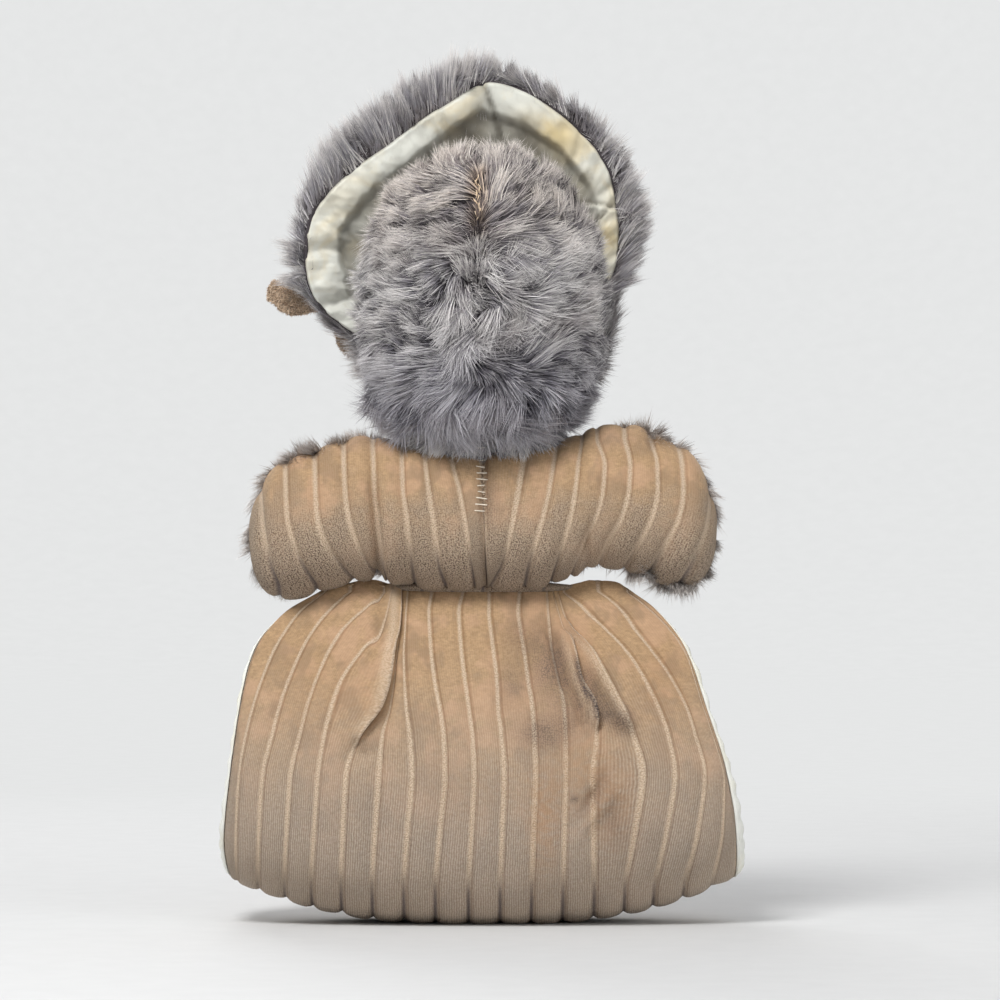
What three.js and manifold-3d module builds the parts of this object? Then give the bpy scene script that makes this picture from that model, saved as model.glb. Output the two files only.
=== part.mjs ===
// A muff doll: a stuffed doll whose skirt is a child's hand muff.
// Millimetres. +Z runs up the doll's height, the face looks along -Y, and the doll's left hand is on +X.
// The origin is the middle of the flat patch that the muff stands on.
import * as THREE from "three";
import { mergeVertices } from "three/addons/utils/BufferGeometryUtils.js";
import Module from "manifold-3d";

const wasm = await Module();
wasm.setup();

// Cloth and the gaps between sewn pieces
const VELOUR_THICKNESS = 2.4;
const LINING_THICKNESS = 1.8;
const PADDING_GAP = 0.8; // between the muff's padding and its two cloths
const PLUSH_THICKNESS = 5.5; // backing with the dense half of its pile
const SEAM_GAP = 0.36; // between pieces that are sewn to each other

// The muff, which is the doll's skirt
const MUFF_HALF_WIDTH = 106; // to where the padded rim starts to round over
const MUFF_WAIST_HEIGHT = 146.4;
const MUFF_DEPTH = 84;
const BASE_FLAT_DEPTH = 0.5; // how far the bottom is pressed flat where it stands
const HAND_HOLE_BOTTOM = 32;
const HAND_HOLE_TOP = 119;
const HAND_HOLE_DEPTH = 40;
const WALL_ABOVE_HOLE = 20; // the least padding between the hole and the ridge
const MUFF_PEAR = [0.4, 0.88]; // a section's roundness below and its draw to a ridge above
const HAND_HOLE_PEAR = [0.5, 0.62];
const RIM_SEAM_ANGLE = 52; // where velour meets lining round the rim, in degrees from the outer face
const RIM_SEAM_OPENING = 4; // degrees between the two cloths there
const MUFF_TOP_SHAPE = [[0, 1], [0.33, 1], [0.46, 1.022], [0.6, 1.008], [0.79, 0.985], [1, 0.96]];
const MUFF_BOTTOM_RISE = 18; // how far the bottom corners lie above the middle
const MUFF_END_DEPTH_SHARE = 0.74; // the depth left at the openings
const LEFT_RIM_SHAPE = [[0, 0.99], [0.15, 1.01], [0.4, 1], [0.57, 0.98], [0.77, 0.925], [0.88, 0.86],
  [0.95, 0.76], [1, 0.6]]; // share of the height, of the half width
const RIGHT_RIM_SHAPE = [[0, 1], [0.21, 0.995], [0.42, 0.965], [0.66, 0.88], [0.84, 0.785], [0.95, 0.65],
  [1, 0.52]];
const RIB_COUNT = 16; // of the velour's ribs across the muff
const RIB_HEIGHT = 1.3;
const RIB_LEAN = 1.5; // how fast the ribs near the openings come to lean with them

// The torso and the two arms, one stuffed bolster across the doll
const TORSO_HEIGHT = 61;
const BOLSTER_DEPTH = 45;
const SHOULDER_X = 40; // the upright axis that each arm bends about
const SHOULDER_RADIUS = 24;
const ARM_LENGTH = 62; // from the shoulder axis to the tip
const ARM_TIP_ROUNDING = 15;
// Along each side of the bolster: distance from the middle, then the top and the bottom above the waist
const LEFT_SIDE = [[0, 61, 0.6], [22, 61.4, 0.8], [40, 64, 4.4], [52, 65.5, 4.4], [65, 62.5, 1],
  [81, 57, -3.6], [102, 50, -6]];
const RIGHT_SIDE = [[0, 61, 0.6], [22, 61.6, 1.2], [40, 66, 7], [52, 70.5, 9.6], [65, 70.5, 7.6],
  [81, 64, 2], [102, 54, -1.6]];
const BOLSTER_RING_SPACING = 12;
const BOLSTER_SQUARENESS = 0.9; // 1 is an ellipse, less is fuller

// The neck and the head
const NECK_GAP = 3; // between the torso's top and the head's base
const NECK_RADIUS = 14;
const NECK_ABOVE_HEAD_BASE = 5; // the middle of the neck
const HEAD_HEIGHT = 130;
const HEAD_HALF_WIDTH = 55;
const HEAD_BACK_DEPTH = 45;
const HEAD_FRONT_DEPTH = 38;
const HEAD_SHAPE = [[0, 0], [0.025, 0.42], [0.07, 0.7], [0.15, 0.86], [0.28, 0.965], [0.42, 1], [0.58, 0.98],
  [0.72, 0.9], [0.84, 0.745], [0.93, 0.53], [0.98, 0.29], [1, 0]]; // share of the height, of the half width

// The moulded face, set into an oval opening of the head plush
const FACE_HALF_WIDTH = 41;
const FACE_HALF_HEIGHT = 46;
const FACE_ABOVE_HEAD_BASE = 54; // the middle of the face
const FACE_RIM_Y = -23;
const FACE_DOME = 21; // how far the cheeks stand in front of the rim
const FACE_WALL = 2.5;

// The bonnet brim round the face: angles in degrees about the face's middle, radii in millimetres
const BRIM_START = -48;
const BRIM_END = 228;
const BRIM_ROOT_MARGIN = 1.5; // from the face opening to where the brim is sewn on
const BRIM_Y = -27;
const BRIM_SWEEP_BACK = 17;
const BRIM_EDGE = [[-48, 53], [-12, 57], [5, 76], [21, 89], [39, 98], [62, 102], [89, 111], [111, 104],
  [130, 93], [146, 83], [161, 70.5], [175, 57], [228, 53]];
const LINING_EDGE = [[-48, 49], [-12, 52.5], [9, 76], [19, 82.5], [33, 88], [58, 87], [79, 95], [92, 104],
  [111, 96], [128, 87], [140, 76.5], [154, 66], [170, 54], [228, 49]];
const BRIM_LINING_THICKNESS = 1.4;
const STIFFENER_THICKNESS = 1.4;
const BRIM_ROLL_BACK = 2.6; // how far the rolled plush edge stands behind the lining

// The velour bow at the brim's lower end on the doll's left
const BOW_ANGLE = 7; // round the brim
const BOW_RADIUS = 66; // from the face's middle
const BOW_LOOP_LENGTH = 24;
const BOW_LOOP_WIDTH = 17;
const BOW_LOOP_HEIGHT = 9;
const BOW_KNOT_SIZE = 9;
// Where each loop's tip points: an angle round the face, a radius and how far it stands off the brim
const BOW_LOOPS = [["bow_loop_outer", 4, 100, 7], ["bow_loop_inner", -32, 52, 15]];

// How finely the rounded pieces are faceted
const MUFF_AROUND = 24;
const PLAIN_STEPS = 7; // across the plain faces of the muff's layers
const BOLSTER_AROUND = 14;
const HEAD_AROUND = 24;
const FACE_AROUND = 28;
const BRIM_STEPS = 26;
const BALL_SEGMENTS = 20;
const SHOULDER_SEGMENTS = 32;

const WAIST_Z = MUFF_WAIST_HEIGHT + SEAM_GAP;
const TORSO_TOP_Z = WAIST_Z + TORSO_HEIGHT;
const HEAD_BASE_Z = TORSO_TOP_Z + NECK_GAP;
const NECK_Z = HEAD_BASE_Z + NECK_ABOVE_HEAD_BASE;
const FACE_Z = HEAD_BASE_Z + FACE_ABOVE_HEAD_BASE;
const FAR = 400; // the half size of a cutting block

const radians = (degrees) => (degrees * Math.PI) / 180;
const signedPower = (v, p) => Math.sign(v) * Math.abs(v) ** p;
const mix = (a, b, share) => a + (b - a) * share;

// The value at x of a smooth line through stations [x, ...values], by a cubic that does not overshoot.
function along(stations, x, column = 1) {
  const n = stations.length;
  const at = Math.min(Math.max(x, stations[0][0]), stations[n - 1][0]);
  let i = 0;
  while (i < n - 2 && at > stations[i + 1][0]) i += 1;
  const slope = (k) => (stations[k + 1][column] - stations[k][column]) / (stations[k + 1][0] - stations[k][0]);
  const tangent = (k) => {
    if (k === 0) return slope(0);
    if (k === n - 1) return slope(n - 2);
    const [a, b] = [slope(k - 1), slope(k)];
    return a * b <= 0 ? 0 : (2 * a * b) / (a + b);
  };
  const width = stations[i + 1][0] - stations[i][0];
  const t = (at - stations[i][0]) / width;
  const [h00, h10] = [(1 + 2 * t) * (1 - t) ** 2, t * (1 - t) ** 2];
  const [h01, h11] = [t * t * (3 - 2 * t), t * t * (t - 1)];
  return h00 * stations[i][column] + h10 * width * tangent(i)
    + h01 * stations[i + 1][column] + h11 * width * tangent(i + 1);
}

// A closed geometry from points and triangles.
function geometryFrom(points, triangles) {
  const geometry = new THREE.BufferGeometry();
  geometry.setAttribute("position", new THREE.Float32BufferAttribute(points.flatMap((p) => [p.x, p.y, p.z]), 3));
  geometry.setIndex(triangles);
  return geometry;
}

// Triangles that join rings of equal length, each to the next.
function sides(rows, ringLength, closed) {
  const triangles = [];
  for (let row = 0; row < (closed ? rows : rows - 1); row += 1) {
    const next = (row + 1) % rows;
    for (let i = 0; i < ringLength; i += 1) {
      const j = (i + 1) % ringLength;
      const [a, b] = [row * ringLength + i, row * ringLength + j];
      const [c, d] = [next * ringLength + j, next * ringLength + i];
      triangles.push(a, b, c, a, c, d);
    }
  }
  return triangles;
}

// A skin through rings of points, closed by a point at each end.
function bulb(firstPole, rings, lastPole) {
  const size = rings[0].length;
  const points = [...rings.flat(), firstPole, lastPole];
  const triangles = sides(rings.length, size, false);
  const top = (rings.length - 1) * size;
  for (let i = 0; i < size; i += 1) {
    const j = (i + 1) % size;
    triangles.push(points.length - 2, j, i);
    triangles.push(points.length - 1, top + i, top + j);
  }
  return geometryFrom(points, triangles);
}

// A tube whose profile is carried round a closed way.
function hoop(profiles) {
  return geometryFrom(profiles.flat(), sides(profiles.length, profiles[0].length, true));
}

// A tube whose profile is carried along an open way, with flat ends cut as the profile's outline lies in flat.
function strip(profiles, flat) {
  const size = profiles[0].length;
  const triangles = sides(profiles.length, size, false);
  const last = (profiles.length - 1) * size;
  for (const [a, b, c] of THREE.ShapeUtils.triangulateShape(flat, [])) {
    triangles.push(a, c, b, last + a, last + b, last + c);
  }
  return geometryFrom(profiles.flat(), triangles);
}

// Closed geometry as a solid for cutting and joining. A profile drawn the other way round is turned.
function solid(geometry) {
  const bare = geometry.clone();
  bare.deleteAttribute("normal");
  bare.deleteAttribute("uv");
  const merged = mergeVertices(bare, 1e-4);
  const made = (triVerts) => new wasm.Manifold(new wasm.Mesh({
    numProp: 3, vertProperties: merged.attributes.position.array, triVerts,
  }));
  const forward = made(new Uint32Array(merged.index.array));
  return forward.volume() > 0 ? forward : made(new Uint32Array(merged.index.array).reverse());
}

function geometryOf(body) {
  const mesh = body.getMesh();
  const geometry = new THREE.BufferGeometry();
  geometry.setAttribute("position", new THREE.BufferAttribute(new Float32Array(mesh.vertProperties), 3));
  geometry.setIndex(new THREE.BufferAttribute(new Uint32Array(mesh.triVerts), 1));
  return geometry;
}

// A cutting block between two corners.
function block(low, high) {
  const box = new THREE.BoxGeometry(high[0] - low[0], high[1] - low[1], high[2] - low[2]);
  box.translate((low[0] + high[0]) / 2, (low[1] + high[1]) / 2, (low[2] + high[2]) / 2);
  return solid(box);
}

const material = (color, roughness) => new THREE.MeshStandardMaterial({ color, roughness, metalness: 0 });
const TAN_VELOUR = material(0xb0906c, 0.85);
const GREY_PLUSH = material(0x8d878b, 0.95);
const WHITE_SATIN = material(0xd9d8c8, 0.5);
const COTTON_STUFFING = material(0xe8e2d4, 1);
const BUCKRAM = material(0xcfc6ac, 0.9);
const FACE_RUBBER = material(0xe6b598, 0.55);

// Adds a mesh to a group, with the mesh's own points counted from the group's place.
function add(group, name, body, itsMaterial) {
  const geometry = body.isBufferGeometry ? body : geometryOf(body);
  geometry.translate(-group.position.x, -group.position.y, -group.position.z);
  geometry.computeVertexNormals();
  const mesh = new THREE.Mesh(geometry, itsMaterial);
  mesh.name = name;
  group.add(mesh);
}

// The muff wall, as a map from an angle round the hand hole, a place across it and a depth into the wall.
// Places across run from -1 at the right opening to 1 at the left.
const muffTop = (x) => MUFF_WAIST_HEIGHT * along(MUFF_TOP_SHAPE, Math.abs(x) / MUFF_HALF_WIDTH);
const muffBottom = (x) => MUFF_BOTTOM_RISE * (Math.abs(x) / MUFF_HALF_WIDTH) ** 2.5 - BASE_FLAT_DEPTH;
const muffHalfDepth = (x) => (MUFF_DEPTH / 2) * mix(1, MUFF_END_DEPTH_SHARE, (Math.abs(x) / MUFF_HALF_WIDTH) ** 3);
const heightShare = (angle) => (1 + Math.sin(angle)) / 2;

// A point of an upright pear-shaped section: round below and drawn to a ridge above.
function pearPoint(angle, x, bottom, top, halfDepth, [lower, upper]) {
  const share = heightShare(angle);
  const widest = lower / (lower + upper);
  const full = widest ** lower * (1 - widest) ** upper;
  const y = (Math.sign(Math.cos(angle)) * halfDepth * share ** lower * (1 - share) ** upper) / full;
  return new THREE.Vector3(x, Math.abs(Math.cos(angle)) < 1e-9 ? 0 : y, mix(bottom, top, share));
}

const muffOuter = (angle, x) => pearPoint(angle, x, muffBottom(x), muffTop(x), muffHalfDepth(x), MUFF_PEAR);

function muffInner(angle, x) {
  const top = Math.min(HAND_HOLE_TOP, muffTop(x) - WALL_ABOVE_HOLE);
  return pearPoint(angle, x, HAND_HOLE_BOTTOM, top, HAND_HOLE_DEPTH / 2, HAND_HOLE_PEAR);
}

// Across the muff the ribs run upright in the middle and lean with the openings at the sides.
function muffX(angle, across) {
  const rim = along(across > 0 ? LEFT_RIM_SHAPE : RIGHT_RIM_SHAPE, heightShare(angle));
  return MUFF_HALF_WIDTH * across * (1 - (1 - rim) * Math.abs(across) ** RIB_LEAN);
}

function wallPoint(angle, across, depth, beyond = 0) {
  const x = muffX(angle, across);
  const outer = muffOuter(angle, x);
  const point = outer.clone().lerp(muffInner(angle, x), depth / outer.distanceTo(muffInner(angle, x)));
  point.x = x + beyond;
  if (depth > 0) point.z = Math.max(point.z, depth);
  return point;
}

const wallThickness = (angle, across) => (
  muffOuter(angle, muffX(angle, across)).distanceTo(muffInner(angle, muffX(angle, across))));

// A point on the rounded rim of an opening, at degrees from the outer face and a depth under the skin.
function rimPoint(angle, side, degrees, depth) {
  const radius = wallThickness(angle, side) / 2;
  const turn = radians(degrees);
  return wallPoint(angle, side, radius - (radius - depth) * Math.cos(turn), side * (radius - depth) * Math.sin(turn));
}

// The wall's outer face from rim to rim, and its inner face the same way.
function outerLine(angle, depth, rimAngles, steps, ribs = 0) {
  const ribFade = Math.min(1, Math.max(0, (0.94 - heightShare(angle)) / 0.25));
  const line = rimAngles.map((degrees) => rimPoint(angle, -1, degrees, depth));
  for (let k = 0; k <= steps; k += 1) {
    const crown = k % 2 ? ribs * ribFade : 0;
    line.push(wallPoint(angle, mix(-1, 1, k / steps), depth - crown));
  }
  return [...line, ...rimAngles.toReversed().map((degrees) => rimPoint(angle, 1, degrees, depth))];
}

function innerLine(angle, depth, rimAngles, steps) {
  const line = rimAngles.map((degrees) => rimPoint(angle, -1, degrees, depth));
  for (let k = 0; k <= steps; k += 1) {
    const across = mix(-1, 1, k / steps);
    line.push(wallPoint(angle, across, wallThickness(angle, across) - depth));
  }
  return [...line, ...rimAngles.toReversed().map((degrees) => rimPoint(angle, 1, degrees, depth))];
}

const COVER_RIM = [RIM_SEAM_ANGLE, RIM_SEAM_ANGLE / 2];
const LINING_RIM = [RIM_SEAM_ANGLE + RIM_SEAM_OPENING, 90, 135];

// A layer of the muff, its outline round the wall carried round the hand hole.
function muffLayer(outline) {
  const profiles = [];
  for (let i = 0; i < MUFF_AROUND; i += 1) {
    profiles.push(outline((2 * Math.PI * i) / MUFF_AROUND - Math.PI / 2));
  }
  return solid(hoop(profiles));
}

// The cover is cut level where the muff's bottom presses flat.
const muffCover = () => muffLayer((angle) => [
  ...outerLine(angle, 0, COVER_RIM, 2 * RIB_COUNT, RIB_HEIGHT),
  ...outerLine(angle, VELOUR_THICKNESS, COVER_RIM, PLAIN_STEPS).reverse(),
]).subtract(block([-FAR, -FAR, -FAR], [FAR, FAR, 0]));

const muffLining = () => muffLayer((angle) => [
  ...innerLine(angle, 0, LINING_RIM, PLAIN_STEPS),
  ...innerLine(angle, LINING_THICKNESS, LINING_RIM, PLAIN_STEPS).reverse(),
]);

const muffPadding = () => muffLayer((angle) => [
  ...outerLine(angle, VELOUR_THICKNESS + PADDING_GAP, COVER_RIM, PLAIN_STEPS),
  ...innerLine(angle, VELOUR_THICKNESS + PADDING_GAP, LINING_RIM, PLAIN_STEPS).reverse(),
]);

// The bolster of torso and arms, at a depth under its skin: rings along X, with a rounded tip at each end.
function bolster(depth) {
  const reach = SHOULDER_X + ARM_LENGTH - depth;
  const rounding = ARM_TIP_ROUNDING - depth / 2;
  const edges = (x) => [1, 2].map((column) => WAIST_Z + along(x > 0 ? LEFT_SIDE : RIGHT_SIDE, Math.abs(x), column));
  const ring = (x) => {
    const [top, bottom] = edges(x);
    const fromTip = Math.min(1, (reach - Math.abs(x)) / rounding);
    const cap = Math.sqrt(1 - (1 - fromTip) ** 2);
    return Array.from({ length: BOLSTER_AROUND }, (_, i) => {
      const turn = (2 * Math.PI * i) / BOLSTER_AROUND;
      return new THREE.Vector3(x,
        (BOLSTER_DEPTH / 2 - depth) * cap * signedPower(Math.cos(turn), BOLSTER_SQUARENESS),
        mix(bottom, top, 0.5) + ((top - bottom) / 2 - depth) * cap * signedPower(Math.sin(turn), BOLSTER_SQUARENESS));
    });
  };
  const places = [0.03, 0.12, 0.3, 0.58].map((share) => reach - rounding * share);
  for (let x = reach - rounding; x > BOLSTER_RING_SPACING / 2; x -= BOLSTER_RING_SPACING) places.push(x);
  const pole = (side) => new THREE.Vector3(side * reach, 0, mix(...edges(side * reach), 0.5));
  return bulb(pole(-1), [...places.map((x) => -x), 0, ...places.toReversed()].map(ring), pole(1));
}

// The upright column at a shoulder that the arm bends about.
function shoulderColumn(side, radius) {
  const column = new THREE.CylinderGeometry(radius, radius, 2 * FAR, SHOULDER_SEGMENTS);
  column.rotateX(Math.PI / 2);
  column.translate(side * SHOULDER_X, 0, 0);
  return solid(column);
}

function torsoZone() {
  const middle = block([-SHOULDER_X, -FAR, -FAR], [SHOULDER_X, FAR, FAR]);
  return middle.add(shoulderColumn(1, SHOULDER_RADIUS)).add(shoulderColumn(-1, SHOULDER_RADIUS));
}

function armZone(side) {
  const low = side > 0 ? SHOULDER_X : -FAR;
  const high = side > 0 ? FAR : -SHOULDER_X;
  return block([low, -FAR, -FAR], [high, FAR, FAR]).subtract(shoulderColumn(side, SHOULDER_RADIUS + SEAM_GAP));
}

const backHalf = () => block([-FAR, SEAM_GAP / 2, -FAR], [FAR, FAR, FAR]);
const frontHalf = () => block([-FAR, -FAR, -FAR], [FAR, -SEAM_GAP / 2, FAR]);
const sideHalf = (side) => (side > 0
  ? block([SEAM_GAP / 2, -FAR, -FAR], [FAR, FAR, FAR])
  : block([-FAR, -FAR, -FAR], [-SEAM_GAP / 2, FAR, FAR]));

// The round neck, or the room for it when radius is larger.
function neckBall(radius) {
  const geometry = new THREE.SphereGeometry(radius, BALL_SEGMENTS, BALL_SEGMENTS / 2);
  geometry.translate(0, 0, NECK_Z);
  return solid(geometry);
}

// The head, at a depth under the plush surface.
function head(depth) {
  const middle = HEAD_BASE_Z + HEAD_HEIGHT / 2;
  const squeeze = (HEAD_HEIGHT / 2 - depth) / (HEAD_HEIGHT / 2);
  const heightOf = (share) => middle + (HEAD_BASE_Z + HEAD_HEIGHT * share - middle) * squeeze;
  const ring = ([share, width]) => {
    const points = [];
    for (let i = 0; i < HEAD_AROUND; i += 1) {
      const turn = (2 * Math.PI * i) / HEAD_AROUND;
      const halfDepth = Math.sin(turn) > 0 ? HEAD_BACK_DEPTH : HEAD_FRONT_DEPTH;
      const shrunk = width * (1 - depth / HEAD_HALF_WIDTH);
      points.push(new THREE.Vector3(
        HEAD_HALF_WIDTH * shrunk * Math.cos(turn), halfDepth * shrunk * Math.sin(turn), heightOf(share)));
    }
    return points;
  };
  return bulb(new THREE.Vector3(0, 0, heightOf(0)), HEAD_SHAPE.slice(1, -1).map(ring),
    new THREE.Vector3(0, 0, heightOf(1)));
}

// The even dome under the features, from 1 at the middle of the oval to nearly nothing at its rim.
const faceDome = (across, up) => Math.sqrt(1 - 0.97 * Math.min(1, across ** 2 + up ** 2) ** 1.3);

// How far the moulded face stands forward at a place across its oval, in shares of the half width and height.
function faceRelief(across, up) {
  const bump = (x, z, wide, tall, height) => (
    height * Math.exp(-(((across - x) / wide) ** 2) - (((up - z) / tall) ** 2)));
  const both = (x, z, wide, tall, height) => bump(x, z, wide, tall, height) + bump(-x, z, wide, tall, height);
  const edge = 1 - Math.min(1, across ** 2 + up ** 2) ** 3;
  return FACE_DOME * faceDome(across, up) + edge * (
    bump(0, -0.1, 0.15, 0.15, 4.6) + bump(0, 0.12, 0.11, 0.22, 1.8) // nose and its bridge
    + both(0.42, -0.24, 0.26, 0.24, 3.2) + bump(0, -0.74, 0.22, 0.16, 4) // cheeks and chin
    + bump(0, 0.62, 0.6, 0.3, 2.2) + both(0.37, 0.14, 0.2, 0.15, -2.6) // brow and eye hollows
    + bump(0, -0.4, 0.2, 0.05, 2.2) + bump(0, -0.51, 0.15, 0.06, 2.2)); // lips
}

// Solids over the face's oval, widened by margin. A mask lies between the face's front and a smooth back, and
// a room reaches from behind that back, or from backY, to far in front of the face.
function facePlace(share, turn, margin, y) {
  return new THREE.Vector3((FACE_HALF_WIDTH + margin) * share * Math.cos(turn), y,
    FACE_Z + (FACE_HALF_HEIGHT + margin) * share * Math.sin(turn));
}

function faceRing(share, margin, yOf) {
  return Array.from({ length: FACE_AROUND }, (_, i) => {
    const point = facePlace(share, (2 * Math.PI * i) / FACE_AROUND, margin, 0);
    point.y = yOf(point.x / FACE_HALF_WIDTH, (point.z - FACE_Z) / FACE_HALF_HEIGHT);
    return point;
  });
}

const faceFront = (across, up) => FACE_RIM_Y - faceRelief(across, up);
const faceBack = (across, up) => FACE_RIM_Y + FACE_WALL - FACE_DOME * 0.72 * faceDome(across, up);
const FRONT_SHARES = [0.1, 0.19, 0.28, 0.37, 0.46, 0.55, 0.65, 0.76, 0.88, 0.96, 1];
const BACK_SHARES = [0.35, 0.6, 0.8, 1];

function faceMask() {
  const rings = [...BACK_SHARES.map((share) => faceRing(share, 0, faceBack)),
    ...FRONT_SHARES.toReversed().map((share) => faceRing(share, 0, faceFront))];
  return solid(bulb(facePlace(0, 0, 0, faceBack(0, 0)), rings, facePlace(0, 0, 0, faceFront(0, 0))));
}

function faceRoom(gap, backY) {
  const behind = backY === undefined ? (across, up) => faceBack(across, up) + gap : () => backY;
  const rings = [...BACK_SHARES.map((share) => faceRing(share, gap, behind)), faceRing(1, gap, () => -FAR)];
  return solid(bulb(facePlace(0, 0, 0, behind(0, 0)), rings, facePlace(0, 0, 0, -FAR)));
}

// The brim's section at an angle round the face: how far out its parts reach and how far back they lie.
function brimPoint(degrees, radius, offset) {
  const turn = radians(degrees);
  const root = brimRoot(degrees);
  const share = (radius - root) / (along(BRIM_EDGE, 90) - root);
  return new THREE.Vector3(radius * Math.cos(turn),
    BRIM_Y + BRIM_SWEEP_BACK * share ** 0.8 + offset, FACE_Z + radius * Math.sin(turn));
}

function brimRoot(degrees) {
  const turn = radians(degrees);
  return 1 / Math.hypot(Math.cos(turn) / (FACE_HALF_WIDTH + BRIM_ROOT_MARGIN),
    Math.sin(turn) / (FACE_HALF_HEIGHT + BRIM_ROOT_MARGIN));
}

// A part of the brim: section gives its outline at an angle as [radius, offset] pairs.
function brimPart(section) {
  const profiles = [];
  for (let i = 0; i <= BRIM_STEPS; i += 1) {
    const degrees = mix(BRIM_START, BRIM_END, i / BRIM_STEPS);
    profiles.push(section(degrees).map(([radius, offset]) => brimPoint(degrees, radius, offset)));
  }
  const flat = section(BRIM_START).map(([radius, offset]) => new THREE.Vector2(radius, offset));
  return solid(strip(profiles, flat));
}

function brimLiningSection(degrees) {
  const [root, edge] = [brimRoot(degrees), along(LINING_EDGE, degrees)];
  const middle = mix(root, edge, 0.5);
  const face = (radius) => [radius, BRIM_LINING_THICKNESS];
  return [[root, 0], [middle, 0], [edge, 0], face(edge), face(middle), face(root)];
}

function stiffenerSection(degrees) {
  const [root, edge] = [brimRoot(degrees), along(LINING_EDGE, degrees)];
  const middle = mix(root, edge, 0.5);
  const [back, front] = [-SEAM_GAP, -SEAM_GAP - STIFFENER_THICKNESS];
  return [[root, front], [middle, front], [edge, front], [edge, back], [middle, back], [root, back]];
}

// The plush lies in front of the stiffener, rolls over the brim's edge and ends against the lining.
function brimPlushSection(degrees) {
  const root = brimRoot(degrees);
  const [lining, edge] = [along(LINING_EDGE, degrees) + SEAM_GAP, along(BRIM_EDGE, degrees)];
  const back = -STIFFENER_THICKNESS - 2 * SEAM_GAP;
  const front = back - PLUSH_THICKNESS;
  const behind = BRIM_LINING_THICKNESS + BRIM_ROLL_BACK;
  const roll = (edge - lining) * 0.35;
  return [[root, front], [mix(root, edge, 0.5), front], [edge - roll, front], [edge, mix(front, behind, 0.3)],
    [edge, mix(front, behind, 0.7)], [edge - roll, behind], [lining, behind - BRIM_ROLL_BACK / 2],
    [lining, back], [mix(root, lining, 0.5), back], [root, back]];
}

// A ribbon loop that leaves the knot along +X and comes back, wide at its turn and pinched at the knot.
function bowLoop() {
  const steps = 14;
  const profiles = [];
  const centre = (t) => {
    const turn = mix(-Math.PI, Math.PI, t);
    const reach = (1 + Math.cos(turn)) / 2;
    return new THREE.Vector3(BOW_KNOT_SIZE / 2 + SEAM_GAP + BOW_LOOP_LENGTH * reach,
      (BOW_LOOP_HEIGHT / 2) * Math.sin(turn) * reach ** 0.35 + Math.sin(turn / 2) * 1.6, 0);
  };
  for (let i = 0; i <= steps; i += 1) {
    const t = mix(0.03, 0.97, i / steps);
    const tangent = centre(t + 0.01).sub(centre(t - 0.01)).normalize();
    const across = new THREE.Vector3(-tangent.y, tangent.x, 0).multiplyScalar(VELOUR_THICKNESS / 2);
    const reach = (1 + Math.cos(mix(-Math.PI, Math.PI, t))) / 2;
    const half = (BOW_LOOP_WIDTH / 2) * mix(0.5, 1, Math.sin((reach * Math.PI) / 2));
    const at = (way, z) => centre(t).add(across.clone().multiplyScalar(way)).setZ(z);
    profiles.push([at(1, -half), at(1, half), at(0, half + 0.8), at(-1, half), at(-1, -half), at(0, -half - 0.8)]);
  }
  const flat = [[1, -4], [1, 4], [0, 5], [-1, 4], [-1, -4], [0, -5]].map(([x, y]) => new THREE.Vector2(x, y));
  return strip(profiles, flat);
}

function muff() {
  const group = new THREE.Group();
  add(group, "muff_cover", muffCover(), TAN_VELOUR);
  add(group, "muff_lining", muffLining(), WHITE_SATIN);
  add(group, "muff_padding", muffPadding(), COTTON_STUFFING);
  return group;
}

// The three layers of the bolster inside one zone: velour behind, plush in front and stuffing within.
function bolsterParts(group, prefix, zone, backNames, cut) {
  const skin = solid(bolster(0)).intersect(zone);
  const core = (depth) => solid(bolster(depth));
  const trimmed = (body) => (cut ? body.subtract(cut) : body);
  const velour = skin.subtract(core(VELOUR_THICKNESS)).intersect(backHalf());
  const plush = skin.subtract(core(PLUSH_THICKNESS)).intersect(frontHalf());
  for (const [name, half] of backNames) {
    add(group, name, trimmed(half ? velour.intersect(half) : velour), TAN_VELOUR);
  }
  add(group, `${prefix}_front_plush`, trimmed(plush), GREY_PLUSH);
  const backCore = core(VELOUR_THICKNESS + SEAM_GAP).intersect(backHalf());
  const frontCore = core(PLUSH_THICKNESS + SEAM_GAP);
  add(group, `${prefix}_stuffing`, trimmed(backCore.add(frontCore).intersect(zone)), COTTON_STUFFING);
}

function torso() {
  const group = new THREE.Group();
  group.position.set(0, 0, WAIST_Z);
  const backs = [["torso_back_left", sideHalf(1)], ["torso_back_right", sideHalf(-1)]];
  bolsterParts(group, "torso", torsoZone(), backs, neckBall(NECK_RADIUS + SEAM_GAP));
  return group;
}

function arm(side) {
  const group = new THREE.Group();
  group.position.set(side * SHOULDER_X, 0, WAIST_Z);
  const prefix = side > 0 ? "left_arm" : "right_arm";
  bolsterParts(group, prefix, armZone(side), [[`${prefix}_back_velour`, null]], null);
  return group;
}

function neck() {
  const group = new THREE.Group();
  group.position.set(0, 0, NECK_Z);
  add(group, "neck_stuffing", neckBall(NECK_RADIUS), COTTON_STUFFING);
  return group;
}

function headParts(group) {
  const socket = neckBall(NECK_RADIUS + SEAM_GAP);
  const opening = faceRoom(SEAM_GAP, 0);
  const shell = solid(head(0)).subtract(solid(head(PLUSH_THICKNESS))).subtract(opening).subtract(socket);
  add(group, "head_plush_left", shell.intersect(sideHalf(1)), GREY_PLUSH);
  add(group, "head_plush_right", shell.intersect(sideHalf(-1)), GREY_PLUSH);
  const core = solid(head(PLUSH_THICKNESS + SEAM_GAP)).subtract(faceRoom(SEAM_GAP)).subtract(socket);
  add(group, "head_stuffing", core, COTTON_STUFFING);
  add(group, "face_mask", faceMask(), FACE_RUBBER);
}

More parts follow.
